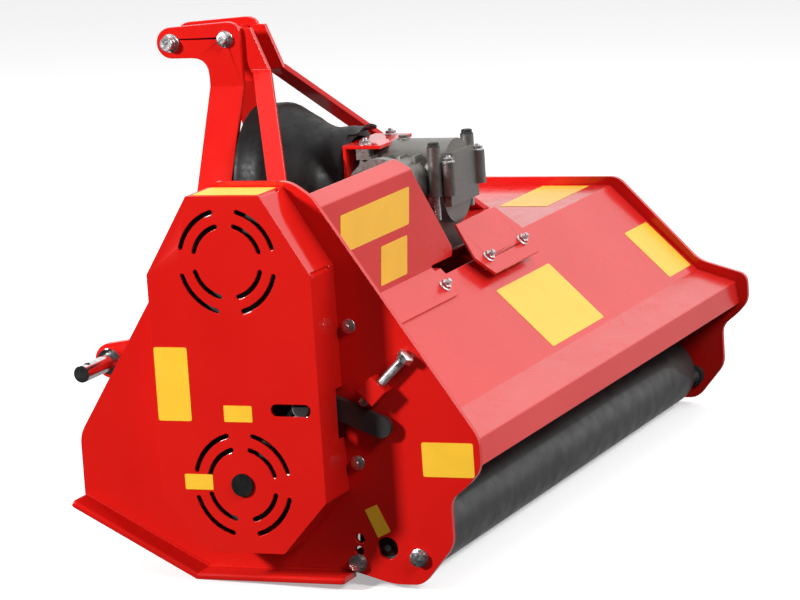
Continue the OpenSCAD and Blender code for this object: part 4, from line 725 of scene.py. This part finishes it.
def build_stage():
    """A pale floor, kept out of bounced and mirrored light."""
    floor = bpy.data.meshes.new("floor")
    shape = bmesh.new()
    bmesh.ops.create_grid(shape, x_segments=1, y_segments=1, size=FLOOR_HALF)
    shape.to_mesh(floor)
    shape.free()
    obj = bpy.data.objects.new("floor", floor)
    bpy.context.collection.objects.link(obj)
    f = Finish("pale_floor").set(Roughness=0.9, Specular_IOR_Level=0.1, Emission_Strength=FLOOR_GLOW,
                                 Emission_Color=WHITE)
    f.feed("Base Color", f.ramp(f.noise(scale=0.7, detail=2.0), (0.3, 0.84), (0.7, 0.86)))
    floor.materials.append(f.material)
    obj.visible_diffuse = False
    obj.visible_glossy = False


def soft_light(name, place, aim, size, power):
    """One rectangular lamp, turned to its aim."""
    lamp = bpy.data.lights.new(name, "AREA")
    lamp.shape = "RECTANGLE"
    lamp.size, lamp.size_y = size
    lamp.energy = power
    obj = bpy.data.objects.new(name, lamp)
    obj.location = place
    obj.rotation_euler = (Vector(aim) - Vector(place)).to_track_quat("-Z", "Y").to_euler()
    bpy.context.collection.objects.link(obj)


def build_world():
    """White studio: bright towards +X and above, dim towards -X and below, plain white as a background."""
    world = bpy.data.worlds.new("studio")
    bpy.context.scene.world = world
    world.use_nodes = True
    tree = world.node_tree
    tree.nodes.clear()
    link = tree.links.new

    def maths(operation, first, second):
        node = tree.nodes.new("ShaderNodeMath")
        node.operation = operation
        link(first, node.inputs[0])
        link(second, node.inputs[1])
        return node.outputs["Value"]

    coords = tree.nodes.new("ShaderNodeTexCoord")
    split = tree.nodes.new("ShaderNodeSeparateXYZ")
    link(coords.outputs["Generated"], split.inputs["Vector"])
    ramps = []
    for axis, span, strength in SKY:
        ramp = tree.nodes.new("ShaderNodeMapRange")
        ramp.inputs["From Min"].default_value, ramp.inputs["From Max"].default_value = span
        ramp.inputs["To Min"].default_value, ramp.inputs["To Max"].default_value = strength
        link(split.outputs[axis], ramp.inputs["Value"])
        ramps.append(ramp.outputs["Result"])
    path = tree.nodes.new("ShaderNodeLightPath")
    glow = maths("MAXIMUM", maths("MULTIPLY", *ramps), path.outputs["Is Camera Ray"])
    back = tree.nodes.new("ShaderNodeBackground")
    back.inputs["Color"].default_value = WHITE
    link(glow, back.inputs["Strength"])
    out = tree.nodes.new("ShaderNodeOutputWorld")
    link(back.outputs["Background"], out.inputs["Surface"])


def build_camera():
    """Camera at the photograph's place, set from the machine's frame."""
    yaw, pitch, roll = (math.radians(a) for a in (YAW_DEG, PITCH_DEG, ROLL_DEG))
    ahead = Vector((math.cos(yaw) * math.cos(pitch), math.sin(yaw) * math.cos(pitch), -math.sin(pitch)))
    level = Vector((math.sin(yaw), -math.cos(yaw), 0.0))
    down = ahead.cross(level)
    right = level * math.cos(roll) + down * math.sin(roll)
    up = level * math.sin(roll) - down * math.cos(roll)
    data = bpy.data.cameras.new("camera")
    data.sensor_fit = "HORIZONTAL"
    data.sensor_width = SENSOR_MM
    data.lens = FOCAL_PX / FRAME_PX * SENSOR_MM
    data.clip_end = CAMERA_REACH
    obj = bpy.data.objects.new("camera", data)
    axes = Matrix((right, up, -ahead)).transposed().to_4x4()
    obj.matrix_world = STANCE @ Matrix.Translation(CAMERA_PLACE) @ axes
    bpy.context.collection.objects.link(obj)
    bpy.context.scene.camera = obj


build_stage()
build_world()
build_camera()
for light in LIGHTS:
    soft_light(*light)
bpy.context.scene.view_settings.view_transform = "Standard"
